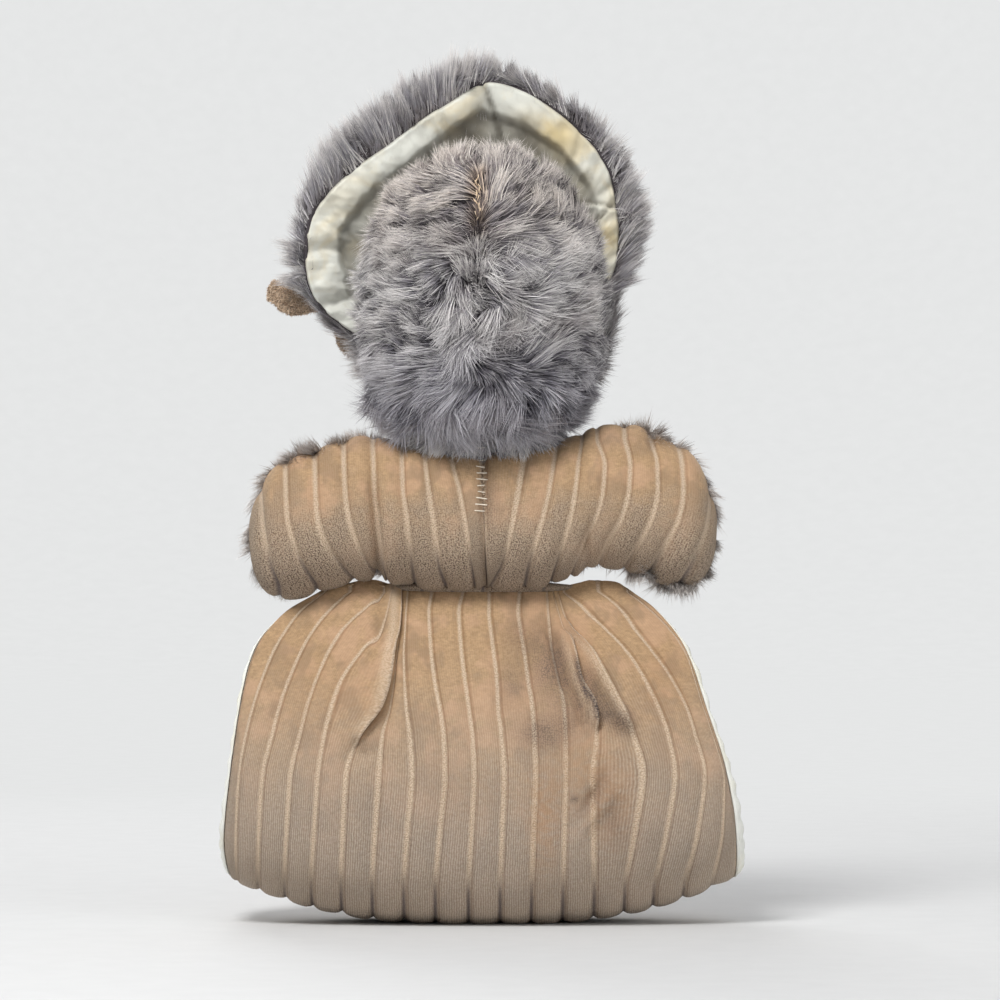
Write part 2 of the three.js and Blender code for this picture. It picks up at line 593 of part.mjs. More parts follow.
function brimParts(group) {
  const headSpace = solid(head(-SEAM_GAP));
  const faceSpace = faceRoom(SEAM_GAP, 0);
  const clear = (body) => {
    const pieces = body.subtract(headSpace).subtract(faceSpace).decompose();
    return pieces.sort((a, b) => b.volume() - a.volume())[0];
  };
  add(group, "brim_plush", clear(brimPart(brimPlushSection)), GREY_PLUSH);
  add(group, "brim_stiffener", clear(brimPart(stiffenerSection)), BUCKRAM);
  add(group, "brim_lining", clear(brimPart(brimLiningSection)), WHITE_SATIN);
}

// The bow is sewn to the plush face of the brim, its outer loop standing past the brim's edge.
function bow(group) {
  const front = -STIFFENER_THICKNESS - 2 * SEAM_GAP - PLUSH_THICKNESS;
  const middle = brimPoint(BOW_ANGLE, BOW_RADIUS, front - BOW_KNOT_SIZE / 2 - SEAM_GAP);
  const knot = new THREE.SphereGeometry(BOW_KNOT_SIZE / 2, 14, 8);
  knot.translate(...middle.toArray());
  add(group, "bow_knot", knot, TAN_VELOUR);
  for (const [name, degrees, radius, lift] of BOW_LOOPS) {
    const outward = brimPoint(degrees, radius, front - lift).sub(middle).normalize();
    const broad = new THREE.Vector3(0, -1, 0).cross(outward).normalize();
    const basis = new THREE.Matrix4().makeBasis(outward, broad.clone().cross(outward), broad).setPosition(middle);
    add(group, name, geometryOf(solid(bowLoop().applyMatrix4(basis))), TAN_VELOUR);
  }
}

function headGroup() {
  const group = new THREE.Group();
  group.position.set(0, 0, NECK_Z);
  headParts(group);
  brimParts(group);
  bow(group);
  return group;
}

const doll = new THREE.Group();
doll.add(muff(), torso(), arm(1), arm(-1), neck(), headGroup());
export default doll;
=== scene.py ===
# %% [markdown]
# # A muff doll, seen from behind
# The doll is a stuffed toy whose skirt is a child's hand muff. Its back is ribbed velour, its front and its
# head are long plush, and a bonnet brim lined with satin stands round the face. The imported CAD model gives
# each body's place, so every piece below is made in that frame, with +Z up and the face along -Y.

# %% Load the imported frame
import math
import random

import bmesh
import bpy
from mathutils import Matrix, Vector, noise
from mathutils.bvhtree import BVHTree
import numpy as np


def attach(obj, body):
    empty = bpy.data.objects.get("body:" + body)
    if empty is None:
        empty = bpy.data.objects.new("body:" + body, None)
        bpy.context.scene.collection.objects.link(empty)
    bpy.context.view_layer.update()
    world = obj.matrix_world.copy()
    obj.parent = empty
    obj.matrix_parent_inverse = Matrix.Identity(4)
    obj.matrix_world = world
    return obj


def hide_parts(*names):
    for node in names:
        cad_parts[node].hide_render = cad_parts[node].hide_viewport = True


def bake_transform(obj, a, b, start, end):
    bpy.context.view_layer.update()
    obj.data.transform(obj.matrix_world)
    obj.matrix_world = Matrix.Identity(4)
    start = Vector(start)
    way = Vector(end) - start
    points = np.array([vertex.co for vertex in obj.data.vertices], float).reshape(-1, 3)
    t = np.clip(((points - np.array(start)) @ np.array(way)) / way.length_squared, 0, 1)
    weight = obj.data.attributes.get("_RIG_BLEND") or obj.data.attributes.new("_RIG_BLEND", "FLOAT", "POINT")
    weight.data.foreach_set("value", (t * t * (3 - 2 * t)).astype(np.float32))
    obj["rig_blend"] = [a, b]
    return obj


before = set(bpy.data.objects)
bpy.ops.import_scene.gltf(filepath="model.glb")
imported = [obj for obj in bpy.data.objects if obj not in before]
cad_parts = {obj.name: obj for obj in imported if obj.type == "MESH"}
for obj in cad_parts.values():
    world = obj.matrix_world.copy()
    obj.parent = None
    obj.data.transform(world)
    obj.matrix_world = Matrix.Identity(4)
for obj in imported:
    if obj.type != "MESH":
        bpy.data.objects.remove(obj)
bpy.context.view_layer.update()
scene = bpy.context.scene
MM = 0.001

# %% [markdown]
# ## Camera
# The photograph looks level at the doll's back from a long way off, with the doll filling the frame. A long
# lens two metres away gives that flat perspective, and its width of view at the doll is 440 mm.

# %% The camera behind the doll
VIEW_WIDTH = 0.44
CAMERA_DISTANCE = 2.2
CAMERA_AIM = Vector((-0.0075, 0, 0.1852))
camera_data = bpy.data.cameras.new("camera")
camera_data.sensor_width = 36
camera_data.lens = 36 * CAMERA_DISTANCE / VIEW_WIDTH
camera = bpy.data.objects.new("camera", camera_data)
camera.location = CAMERA_AIM + Vector((0, CAMERA_DISTANCE, 0))
camera.rotation_euler = (math.radians(90), 0, math.radians(180))
scene.collection.objects.link(camera)
scene.camera = camera
scene.view_settings.view_transform = "Standard"
print("lens", round(camera_data.lens, 1), "mm")

# %% [markdown]
# ## Node helpers
# A material is a small graph of nodes. One helper adds a node and feeds its sockets, and the others name the
# steps that come up again and again: a sum, a ramp, a mix, a noise. An effect that several materials share
# is a group with named sockets.


# %% Helpers for nodes
def node(tree, kind, feeds=None, **settings):
    """Adds a node with its settings, then feeds its sockets from other sockets or plain values."""
    made = tree.nodes.new(kind)
    for name, value in settings.items():
        setattr(made, name, value)
    for socket, value in (feeds or {}).items():
        if isinstance(value, bpy.types.NodeSocket):
            tree.links.new(value, made.inputs[socket])
        else:
            made.inputs[socket].default_value = value
    return made


def calc(tree, operation, a, b=0.0, c=0.0, clamp=False):
    """A Math node's result."""
    return node(tree, "ShaderNodeMath", {0: a, 1: b, 2: c}, operation=operation, use_clamp=clamp).outputs[0]


def times(tree, a, b, clamp=False):
    return calc(tree, "MULTIPLY", a, b, clamp=clamp)


def mult_add(tree, a, b, c, clamp=False):
    """a times b, plus c."""
    return calc(tree, "MULTIPLY_ADD", a, b, c, clamp)


def ramp(tree, value, low, high, to_low=0.0, to_high=1.0):
    """value carried smoothly from the span low..high to the span to_low..to_high."""
    feeds = {"Value": value, "From Min": low, "From Max": high, "To Min": to_low, "To Max": to_high}
    return node(tree, "ShaderNodeMapRange", feeds, interpolation_type="SMOOTHSTEP").outputs["Result"]


def mix_colours(tree, share, a, b, blend="MIX"):
    """Colour a turned towards colour b by share."""
    made = node(tree, "ShaderNodeMix", {0: share, 6: a, 7: b}, data_type="RGBA", blend_type=blend)
    return made.outputs[2]


def speckle(tree, vector, scale, detail=2.0, rough=0.5, stretch=None):
    """A noise value from 0 to 1, stretched along the axes if asked."""
    if stretch:
        vector = node(tree, "ShaderNodeVectorMath", {0: vector, 1: stretch}, operation="MULTIPLY").outputs[0]
    feeds = {"Vector": vector, "Scale": scale, "Detail": detail, "Roughness": rough}
    return node(tree, "ShaderNodeTexNoise", feeds).outputs["Fac"]


def object_place(tree):
    """The place on the piece, in metres."""
    return node(tree, "ShaderNodeTexCoord").outputs["Object"]


def marked(tree, name):
    """What an attribute of the mesh says there."""
    return node(tree, "ShaderNodeAttribute", attribute_name=name).outputs["Fac"]


def axes_of(tree, vector):
    return node(tree, "ShaderNodeSeparateXYZ", {0: vector}).outputs


def group_tree(name, inputs, outputs, kind="ShaderNodeTree"):
    """An empty node group with named sockets, and its inner input and output nodes."""
    tree = bpy.data.node_groups.new(name, kind)
    for label, socket_kind, value in inputs:
        socket = tree.interface.new_socket(label, in_out="INPUT", socket_type="NodeSocket" + socket_kind)
        if value is not None:
            socket.default_value = value
    for label, socket_kind in outputs:
        tree.interface.new_socket(label, in_out="OUTPUT", socket_type="NodeSocket" + socket_kind)
    return tree, tree.nodes.new("NodeGroupInput").outputs, tree.nodes.new("NodeGroupOutput").inputs


def use_group(tree, group, feeds):
    """Places a group in a tree. Its sockets exist once it knows its own tree, so it is fed after that."""
    return node(tree, "ShaderNodeGroup", feeds, node_tree=group)


def colour(red, green, blue):
    """A linear colour from the 0 to 255 values that a photograph shows."""
    def linear(c):
        c /= 255
        return c / 12.92 if c <= 0.04045 else ((c + 0.055) / 1.055) ** 2.4
    return (linear(red), linear(green), linear(blue), 1.0)


def new_material(name, roughness, sheen=0.0, sheen_tint=(1, 1, 1, 1), specular=0.3):
    """A material with its shader, whose plain numbers are set on the shader's own sockets."""
    material = bpy.data.materials.new(name)
    material.use_nodes = True
    shader = material.node_tree.nodes["Principled BSDF"]
    shader.inputs["Roughness"].default_value = roughness
    shader.inputs["Sheen Weight"].default_value = sheen
    shader.inputs["Sheen Roughness"].default_value = 0.4
    shader.inputs["Sheen Tint"].default_value = sheen_tint
    shader.inputs["Specular IOR Level"].default_value = specular
    return material, material.node_tree, shader


def add_relief(tree, shader, heights, strength, distance):
    """Fine relief from a height value, through a Bump node."""
    relief = node(tree, "ShaderNodeBump", {"Height": heights, "Strength": strength, "Distance": distance})
    tree.links.new(relief.outputs["Normal"], shader.inputs["Normal"])


print("node helpers ready")

# %% [markdown]
# ## Floor, backdrop and lamps
# The doll stands in the middle of a wide pale dish: a flat floor whose edge turns up into a wall all round.
# From any side it gives a backdrop with no horizon. Away from the doll the paper glows by itself for the
# camera, so the backdrop is evenly pale without more light on the doll. A large soft lamp stands high on the
# camera's left, with a weaker one on its right and one in front of the doll. A pale world fills the shadows.

# %% The dish, spun from its outline
FLOOR_RADIUS, TURN_RADIUS, WALL_TOP = 2.9, 1.4, 4.5
outline = [(0.001, 0), (0.5, 0), (1.5, 0), (FLOOR_RADIUS, 0)]
outline += [(FLOOR_RADIUS + TURN_RADIUS * math.sin(a), TURN_RADIUS * (1 - math.cos(a)))
            for a in (math.pi / 2 * i / 12 for i in range(1, 13))]
outline.append((FLOOR_RADIUS + TURN_RADIUS, WALL_TOP))
bm = bmesh.new()
dots = [bm.verts.new((across, 0, up)) for across, up in outline]
edges = [bm.edges.new(pair) for pair in zip(dots, dots[1:])]
bmesh.ops.spin(bm, geom=dots + edges, cent=(0, 0, 0), axis=(0, 0, 1), angle=2 * math.pi, steps=72,
               use_merge=True)
bmesh.ops.remove_doubles(bm, verts=bm.verts, dist=0.002)
bmesh.ops.recalc_face_normals(bm, faces=bm.faces)
dish_mesh = bpy.data.meshes.new("studio_dish")
bm.to_mesh(dish_mesh)
bm.free()
for face in dish_mesh.polygons:
    face.use_smooth = True
dish = bpy.data.objects.new("studio_dish", dish_mesh)
scene.collection.objects.link(dish)
paper, tree, shader = new_material("pale_paper", 0.9, specular=0.1)
spot = object_place(tree)
grain = speckle(tree, spot, 60.0)
pale = mix_colours(tree, grain, colour(227, 228, 228), colour(232, 233, 233))
tree.links.new(mix_colours(tree, grain, colour(211, 211, 210), colour(217, 217, 216)),
               shader.inputs["Base Color"])
from_doll = node(tree, "ShaderNodeVectorMath", {0: spot}, operation="LENGTH").outputs["Value"]
rays = node(tree, "ShaderNodeLightPath").outputs
seen = calc(tree, "MAXIMUM", rays["Is Glossy Ray"], rays["Is Transmission Ray"])
seen = calc(tree, "MAXIMUM", rays["Is Camera Ray"], seen)
glow = node(tree, "ShaderNodeEmission", {"Color": pale, "Strength": 1.0}).outputs[0]
backdrop = node(tree, "ShaderNodeMixShader", {0: times(tree, seen, ramp(tree, from_doll, 0.35, 1.1)),
                                              1: shader.outputs[0], 2: glow}).outputs[0]
tree.links.new(backdrop, tree.nodes["Material Output"].inputs["Surface"])
dish_mesh.materials.append(paper)
print("dish", len(dish_mesh.polygons), "faces")


# %% Lamps and world
LAMP_AIM = Vector((0, 0, 0.2))


def soft_lamp(name, place, size, power):
    data = bpy.data.lights.new(name, "AREA")
    data.shape = "DISK"
    data.size = size
    data.energy = power
    lamp = bpy.data.objects.new(name, data)
    lamp.location = place
    lamp.rotation_euler = (LAMP_AIM - Vector(place)).to_track_quat("-Z", "Y").to_euler()
    scene.collection.objects.link(lamp)


soft_lamp("key_lamp", (0.6, 1.1, 1.7), 0.8, 30.5)
soft_lamp("fill_lamp", (-1.4, 1.3, 0.8), 1.2, 8)
soft_lamp("front_lamp", (0.5, -1.7, 1.1), 1.2, 18)
world = bpy.data.worlds.new("pale_room")
world.use_nodes = True
sky = world.node_tree.nodes["Background"].inputs
sky["Color"].default_value, sky["Strength"].default_value = (0.93, 0.95, 1.0, 1), 0.56
scene.world = world
print("lamps and world ready")

# %% [markdown]
# ## Curves, grids and pieces
# Each cloth piece starts as bmesh's own grid. Its columns and rows are then carried to their places on the
# stuffed form, which is the same form as the CAD's, so the cloth lies where the CAD solid lies.


# %% Smooth lines through measured stations
def along(stations, x, column=1):
    """The value at x of a smooth line through [x, ...values] stations, by a cubic that doesn't overshoot."""
    last = len(stations) - 1
    at = min(max(x, stations[0][0]), stations[last][0])
    i = 0
    while i < last - 1 and at > stations[i + 1][0]:
        i += 1

    def slope(k):
        return (stations[k + 1][column] - stations[k][column]) / (stations[k + 1][0] - stations[k][0])

    def tangent(k):
        if k == 0:
            return slope(0)
        if k == last:
            return slope(last - 1)
        a, b = slope(k - 1), slope(k)
        return 0.0 if a * b <= 0 else 2 * a * b / (a + b)

    width = stations[i + 1][0] - stations[i][0]
    t = (at - stations[i][0]) / width
    return ((1 + 2 * t) * (1 - t) ** 2 * stations[i][column] + t * (1 - t) ** 2 * width * tangent(i)
            + t * t * (3 - 2 * t) * stations[i + 1][column] + t * t * (t - 1) * width * tangent(i + 1))


def mix(a, b, share):
    return a + (b - a) * share


def smooth_step(low, high, x):
    """0 at low and before it, 1 at high and past it; low may be the larger, and then it falls with x."""
    t = min(1.0, max(0.0, (x - low) / (high - low)))
    return t * t * (3 - 2 * t)


def bump(x, middle, width):
    return math.exp(-(((x - middle) / width) ** 2))


# %% Making a piece from a grid
def finished(bm, name, material, outward_from=None, thickness=0.0, smooth=True):
    """Turns a bmesh into an object of the scene with its faces outward, and gives it a wall if asked."""
    bmesh.ops.remove_doubles(bm, verts=bm.verts, dist=0.00001)
    bmesh.ops.recalc_face_normals(bm, faces=bm.faces)
    if outward_from:
        bm.normal_update()
        votes = sum(face.calc_area() * face.normal.dot(face.calc_center_median() - outward_from(face))
                    for face in bm.faces)
        if votes < 0:
            bmesh.ops.reverse_faces(bm, faces=bm.faces)
    mesh = bpy.data.meshes.new(name)
    bm.to_mesh(mesh)
    bm.free()
    for face in mesh.polygons:
        face.use_smooth = smooth
    piece = bpy.data.objects.new(name, mesh)
    scene.collection.objects.link(piece)
    mesh.materials.append(material)
    if thickness:
        add_wall(piece, thickness)
    return piece


def add_wall(piece, thickness, offset=-1):
    """Gives a cloth its thickness, inward from its outer face unless offset says otherwise."""
    wall = piece.modifiers.new("wall", "SOLIDIFY")
    wall.thickness, wall.offset = thickness * MM, offset
    apply_modifiers(piece)


def apply_modifiers(piece):
    """Swaps the mesh for the one that the modifiers make, so that later steps see the final mesh."""
    depsgraph = bpy.context.evaluated_depsgraph_get()
    made = bpy.data.meshes.new_from_object(piece.evaluated_get(depsgraph), preserve_all_data_layers=True,
                                           depsgraph=depsgraph)
    piece.modifiers.clear()
    old, piece.data = piece.data, made
    bpy.data.meshes.remove(old)
    piece.data.name = piece.name


VELOUR_WALL, SATIN_WALL, BACKING_WALL = 1.2, 0.6, 0.8
MARKS = ("soil", "rust", "bare")


def cloth_grid(columns, rows, place, pattern=None, marks=None):
    """A grid whose vertex (column, row) goes to place(column, row) in millimetres. pattern gives the cloth's
    own coordinates there, kept as a UV map. marks gives, as attributes, its soil and painted shade, its
    rust, and its bare knit, on the tucks with a painted highlight."""
    bm = bmesh.new()
    bmesh.ops.create_grid(bm, x_segments=len(columns) - 1, y_segments=len(rows) - 1, size=1)
    for name in MARKS:
        bm.verts.layers.float.new(name)
    cloth = bm.loops.layers.uv.new("Cloth")
    layers = {name: bm.verts.layers.float[name] for name in MARKS}
    spots = {vert: (columns[round((vert.co.x + 1) / 2 * (len(columns) - 1))],
                    rows[round((vert.co.y + 1) / 2 * (len(rows) - 1))]) for vert in bm.verts}
    for face in bm.faces if pattern else ():
        for loop in face.loops:
            loop[cloth].uv = pattern(*spots[loop.vert])
    for vert, spot in spots.items():
        point = place(*spot)
        vert.co = point * MM
        for name, rule in (marks or {}).items():
            vert[layers[name]] = max(0.0, min(1.0, rule(point)))
    return bm


def sphere(segments, rings):
    """A sphere of radius 1 with its faces in a fixed order. create_uvsphere lists them in another order each
    run, and the pile's random scatter follows that order, so the faces are made again, sorted."""
    bm, fixed = bmesh.new(), bmesh.new()
    bmesh.ops.create_uvsphere(bm, u_segments=segments, v_segments=rings, radius=1)
    bm.verts.index_update()
    dots = [fixed.verts.new(vert.co) for vert in bm.verts]
    rounds = []
    for face in bm.faces:
        numbers = [vert.index for vert in face.verts]
        first = numbers.index(min(numbers))
        rounds.append(numbers[first:] + numbers[:first])
    for numbers in sorted(rounds):
        fixed.faces.new([dots[number] for number in numbers])
    bm.free()
    return fixed


def ball(name, material, segments, rings, place, keep=None, outward_from=None):
    """A piece that starts as a sphere. place carries each of its points to millimetres, and the faces that
    keep turns down are cut away."""
    bm = sphere(segments, rings)
    for vert in bm.verts:
        vert.co = place(vert.co) * MM
    if keep:
        bmesh.ops.delete(bm, geom=[face for face in bm.faces if not keep(face)], context="FACES")
    return finished(bm, name, material, outward_from)


def stations_of(heights, lines):
    """One list of [height, x] stations for each line."""
    return [[list(pair) for pair in zip(heights, line)] for line in lines]


print("piece helpers ready")

# %% [markdown]
# ## Velour
# The velour is a knit with a short pile, ribbed by lines where the pile is missing and the pale knit shows.
# Near the bottom and under the arms the pile has worn down, so the knit's columns and rows show as a fine
# mottle and the colour turns greyer. Each of these is a node group, so all the velour pieces share them.


# %% Knit: fine columns, and dots of stitches along them, from the cloth's own coordinates in rib widths
def knit_group():
    tree, given, gives = group_tree("knit", [("Cloth", "Vector", None)],
                                    [("Column", "Float"), ("Stitch", "Float")])
    split = axes_of(tree, given["Cloth"])
    wobble = times(tree, speckle(tree, given["Cloth"], 3.0, 2.0), 6.0)
    column = calc(tree, "SINE", mult_add(tree, split["X"], 84.0, wobble))
    grain = speckle(tree, given["Cloth"], 11.0, 3.0, 0.75)
    tree.links.new(mult_add(tree, column, 0.22, grain, clamp=True), gives["Column"])
    spread = node(tree, "ShaderNodeVectorMath", {0: given["Cloth"], 1: (17.0, 23.0, 1.0)},
                  operation="MULTIPLY").outputs[0]
    dots = node(tree, "ShaderNodeTexVoronoi", {"Vector": spread, "Scale": 1.0, "Randomness": 0.85},
                voronoi_dimensions="2D", feature="F1").outputs["Distance"]
    dots = ramp(tree, dots, 0.7, 0.08)
    tree.links.new(mult_add(tree, grain, 0.5, times(tree, dots, 0.5)), gives["Stitch"])
    return tree


# %% Rib line: how near a place is to one of the lines between the ribs
def rib_line_group():
    inputs = [("Cloth", "Vector", None), ("Half width", "Float", 0.06), ("Shift", "Float", 0.0)]
    tree, given, gives = group_tree("rib_line", inputs, [("Line", "Float")])
    across = calc(tree, "SUBTRACT", axes_of(tree, given["Cloth"])["X"],
                  given["Shift"])
    off = calc(tree, "ABSOLUTE", calc(tree, "SUBTRACT", calc(tree, "FRACT", calc(tree, "ADD", across, 0.5)),
                                      0.5))
    ragged = mult_add(tree, speckle(tree, given["Cloth"], 7.0, 4.0, 0.8, (1.6, 1.0, 1.0)), 1.5, 0.25)
    width = times(tree, given["Half width"], ragged)
    near = calc(tree, "DIVIDE", off, width)
    tree.links.new(ramp(tree, near, 0.15, 1.6, 1.0, 0.0), gives["Line"])
    return tree


KNIT, RIB_LINE = knit_group(), rib_line_group()
PILE_TAN, PILE_PALE = colour(156, 125, 90), colour(200, 165, 125)
PILE_PINK, PILE_BROWN = colour(202, 163, 131), colour(148, 122, 94)
WORN_TAN, WORN_PALE = colour(165, 152, 139), colour(212, 199, 185)
STITCH_TAN = colour(212, 189, 163)
# The last of these three colours is painted shade, for the grooves between the ribs low down.
LINE_PALE, LINE_SHADE, GROOVE_SHADE = colour(234, 212, 186), colour(200, 175, 148), colour(98, 87, 88)
# The first colour is the dark tone of soil and of painted shade in folds, creases and seams.
SOIL_AND_SHADE, RUST = colour(92, 80, 75), colour(170, 130, 94)


# %% A velour material
# The cloth is worn below worn_z and fresh above fresh_z. Below groove_z its grooves are painted dark grey, a
# painted shade. Below open_z its knit is pulled open, with gap's colour between the stitches. A painted
# shade also runs beside each rib line, and an attribute darkens the cloth with soil and with painted shade
# in folds and creases.
def velour(name, worn_z, fresh_z, groove_z, open_z, gap, line_width=0.06, shade_side=1):
    material, tree, shader = new_material(name, 0.88, sheen=0.2, sheen_tint=(1.0, 0.92, 0.82, 1),
                                          specular=0.12)
    cloth = node(tree, "ShaderNodeUVMap", uv_map="Cloth").outputs["UV"]
    place = object_place(tree)
    height = axes_of(tree, place)["Z"]
    patch = speckle(tree, place, 52.0, 4.0, 0.6)
    other = speckle(tree, place, 74.0, 3.0, 0.6, (1.0, 1.0, 0.7))
    brushed = speckle(tree, cloth, 2.4, 4.0, 0.65, (1.0, 1.9, 1.0))
    nap = speckle(tree, place, 900.0, 3.0, 0.75, (0.6, 0.6, 1.0))
    uneven = mult_add(tree, calc(tree, "SUBTRACT", patch, 0.5), 0.05, height)
    wear = ramp(tree, uneven, worn_z, fresh_z, 1.0, 0.0)
    opened = ramp(tree, uneven, open_z, open_z + 0.055, 1.0, 0.0)
    knit = use_group(tree, KNIT, {"Cloth": cloth}).outputs
    pile = mix_colours(tree, ramp(tree, nap, 0.2, 0.8), PILE_TAN, PILE_PALE)
    pile = mix_colours(tree, ramp(tree, patch, 0.46, 0.6, 0.0, 0.65), pile, PILE_PINK)
    pile = mix_colours(tree, ramp(tree, other, 0.5, 0.64, 0.0, 0.65), pile, PILE_BROWN)
    pile = mix_colours(tree, ramp(tree, brushed, 0.35, 0.62, 0.3, 0.0), pile, PILE_TAN)
    worn = mix_colours(tree, ramp(tree, knit["Column"], 0.2, 0.5, 0.65, 0.0), WORN_TAN, gap)
    worn = mix_colours(tree, ramp(tree, knit["Column"], 0.5, 0.8, 0.0, 0.6), worn, WORN_PALE)
    coarse = mix_colours(tree, ramp(tree, knit["Stitch"], 0.3, 0.6), gap, STITCH_TAN)
    surface = mix_colours(tree, mult_add(tree, wear, 0.7, 0.12), pile, worn)
    surface = mix_colours(tree, times(tree, opened, 0.85), surface, coarse)
    # Painted shade: a thin darker line beside each rib line, on the side where the groove's wall is turned
    # from the light.
    shaded = use_group(tree, RIB_LINE, {"Cloth": cloth, "Half width": 0.05,
                                        "Shift": 0.11 * shade_side}).outputs["Line"]
    surface = mix_colours(tree, times(tree, shaded, 0.4), surface, colour(172, 150, 134), "MULTIPLY")
    half_width = ramp(tree, wear, 0.0, 0.8, line_width, line_width * 1.45)
    line = use_group(tree, RIB_LINE, {"Cloth": cloth, "Half width": half_width}).outputs["Line"]
    # The attribute also carries a painted highlight along the tucks' folded edges.
    line = calc(tree, "MAXIMUM", line, marked(tree, "bare"))
    bare = mix_colours(tree, ramp(tree, knit["Stitch"], 0.25, 0.7), LINE_SHADE, LINE_PALE)
    fade = ramp(tree, height, groove_z, groove_z + 0.03, 0.4, 0.85)
    surface = mix_colours(tree, times(tree, line, fade), surface, bare)
    # Painted shade: below groove_z the grooves between the ribs turn dark grey.
    groove_shade = use_group(tree, RIB_LINE, {"Cloth": cloth, "Half width": 0.07}).outputs["Line"]
    depth = ramp(tree, height, groove_z, groove_z + 0.02, 0.85, 0.0)
    surface = mix_colours(tree, times(tree, groove_shade, depth), surface, GROOVE_SHADE)
    # An attribute darkens the cloth towards a dark brown-grey: soil, and painted shade in the folds and
    # creases, low on the torso and over the waist seam.
    soil = marked(tree, "soil")
    rust = marked(tree, "rust")
    surface = mix_colours(tree, times(tree, rust, ramp(tree, brushed, 0.35, 0.6, 0.3, 1.0)), surface, RUST)
    soil = times(tree, soil, ramp(tree, knit["Stitch"], 0.25, 0.72, 1.15, 0.65))
    soil = times(tree, soil, ramp(tree, brushed, 0.35, 0.6, 0.8, 1.1), clamp=True)
    surface = mix_colours(tree, soil, surface, SOIL_AND_SHADE)
    tree.links.new(surface, shader.inputs["Base Color"])
    bared = calc(tree, "MAXIMUM", mult_add(tree, opened, 1.2, times(tree, wear, 0.25)), line)
    heights = mult_add(tree, knit["Stitch"], bared, times(tree, nap, 0.35))
    heights = mult_add(tree, knit["Column"], times(tree, wear, 0.5), heights)
    add_relief(tree, shader, heights, 0.8, 0.0007)
    return material


muff_velour = velour("muff_velour", 0.03, 0.125, 0.008, -0.06, colour(130, 114, 100))
back_velour = velour("back_velour", 0.15, 0.196, 0.148, 0.146, colour(98, 78, 62), line_width=0.085,
                     shade_side=-1)
print("velour ready")

# %% [markdown]
# ## Satin
# The bonnet's brim and the muff's inside are lined with aged satin. It is smooth, with a soft gloss, a very
# fine weave, yellow age marks in blotches and a fine grey dust. An attribute darkens it further: painted
# shade in the brim's valley, creases and outer edge, and on the muff's lining a darker tone towards the
# middle of the hole.


# %% Age marks shared by the satin, the rubber and the threads
def age_group():
    inputs = [("Place", "Vector", None), ("Scale", "Float", 30.0)]
    tree, given, gives = group_tree("age_marks", inputs, [("Blotch", "Float"), ("Dust", "Float")])
    blotch = node(tree, "ShaderNodeTexNoise", {"Vector": given["Place"], "Scale": given["Scale"],
                                               "Detail": 4.0,
                                               "Roughness": 0.62, "Distortion": 0.6}).outputs["Fac"]
    fine = node(tree, "ShaderNodeTexNoise", {"Vector": given["Place"],
                                             "Scale": times(tree, given["Scale"], 9.0),
                                             "Detail": 3.0}).outputs["Fac"]
    tree.links.new(ramp(tree, blotch, 0.46, 0.7), gives["Blotch"])
    tree.links.new(ramp(tree, fine, 0.55, 0.75), gives["Dust"])
    return tree


AGE = age_group()


# shade is the colour of the fine dust and of the painted shade.
def satin(name, clean, aged, shade):
    material, tree, shader = new_material(name, 0.5, sheen=0.15, specular=0.4)
    place = object_place(tree)
    marks = use_group(tree, AGE, {"Place": place, "Scale": 34.0}).outputs
    soil = marked(tree, "soil")
    surface = mix_colours(tree, times(tree, marks["Blotch"], 0.5), clean, aged)
    surface = mix_colours(tree, times(tree, marks["Dust"], 0.12), surface, shade)
    rust = marked(tree, "rust")
    surface = mix_colours(tree, times(tree, rust, ramp(tree, marks["Blotch"], 0.0, 1.0, 0.7, 1.0)), surface,
                          aged)
    # The shade colour, led in by an attribute: painted shade on the brim, and on the muff's lining a darker
    # tone towards the middle of the hole.
    surface = mix_colours(tree, soil, surface, shade)
    tree.links.new(surface, shader.inputs["Base Color"])
    tree.links.new(ramp(tree, marks["Blotch"], 0.0, 1.0, 0.45, 0.62), shader.inputs["Roughness"])
    threads = node(tree, "ShaderNodeTexNoise", {"Vector": place, "Scale": 1500.0,
                                                "Detail": 1.0}).outputs["Fac"]
    slack = speckle(tree, place, 90.0, 3.0, 0.5)
    heights = mult_add(tree, threads, 0.05, slack)
    add_relief(tree, shader, heights, 0.35, 0.0012)
    return material


brim_satin = satin("brim_satin", colour(220, 220, 210), colour(216, 196, 148), colour(116, 110, 98))
muff_satin = satin("muff_satin", colour(238, 238, 230), colour(228, 222, 198), colour(170, 166, 154))
print("satin ready")

# %% [markdown]
# ## The muff's form
# A cross-section of the muff is pear-shaped: round below, where it presses flat on the table, and drawn to a
# ridge at the waist. The hand hole is a smaller pear inside it. The wall between the two rounds over at each
# opening, where velour meets lining in a seam. These are the CAD's own numbers, in millimetres.

# %% The muff's measures and its two sections
MUFF_HALF_WIDTH, MUFF_WAIST, MUFF_HALF_DEPTH = 106, 146.4, 42
HOLE_BOTTOM, HOLE_TOP, HOLE_HALF_DEPTH, WALL_ABOVE_HOLE = 32, 119, 20, 20
MUFF_PEAR, HOLE_PEAR = (0.4, 0.88), (0.5, 0.62)
MUFF_TOP_SHAPE = [[0, 1], [0.33, 1], [0.46, 1.022], [0.6, 1.008], [0.79, 0.985], [1, 0.96]]
LEFT_RIM = [[0, 0.99], [0.15, 1.01], [0.4, 1], [0.57, 0.98], [0.77, 0.925], [0.88, 0.86], [0.95, 0.76],
            [1, 0.6]]
RIGHT_RIM = [[0, 1], [0.21, 0.995], [0.42, 0.965], [0.66, 0.88], [0.84, 0.785], [0.95, 0.65], [1, 0.52]]
RIM_SEAM = {1: 50, -1: 38}  # degrees round the rim where velour meets lining, left and right


def muff_top(x):
    return MUFF_WAIST * along(MUFF_TOP_SHAPE, abs(x) / MUFF_HALF_WIDTH)


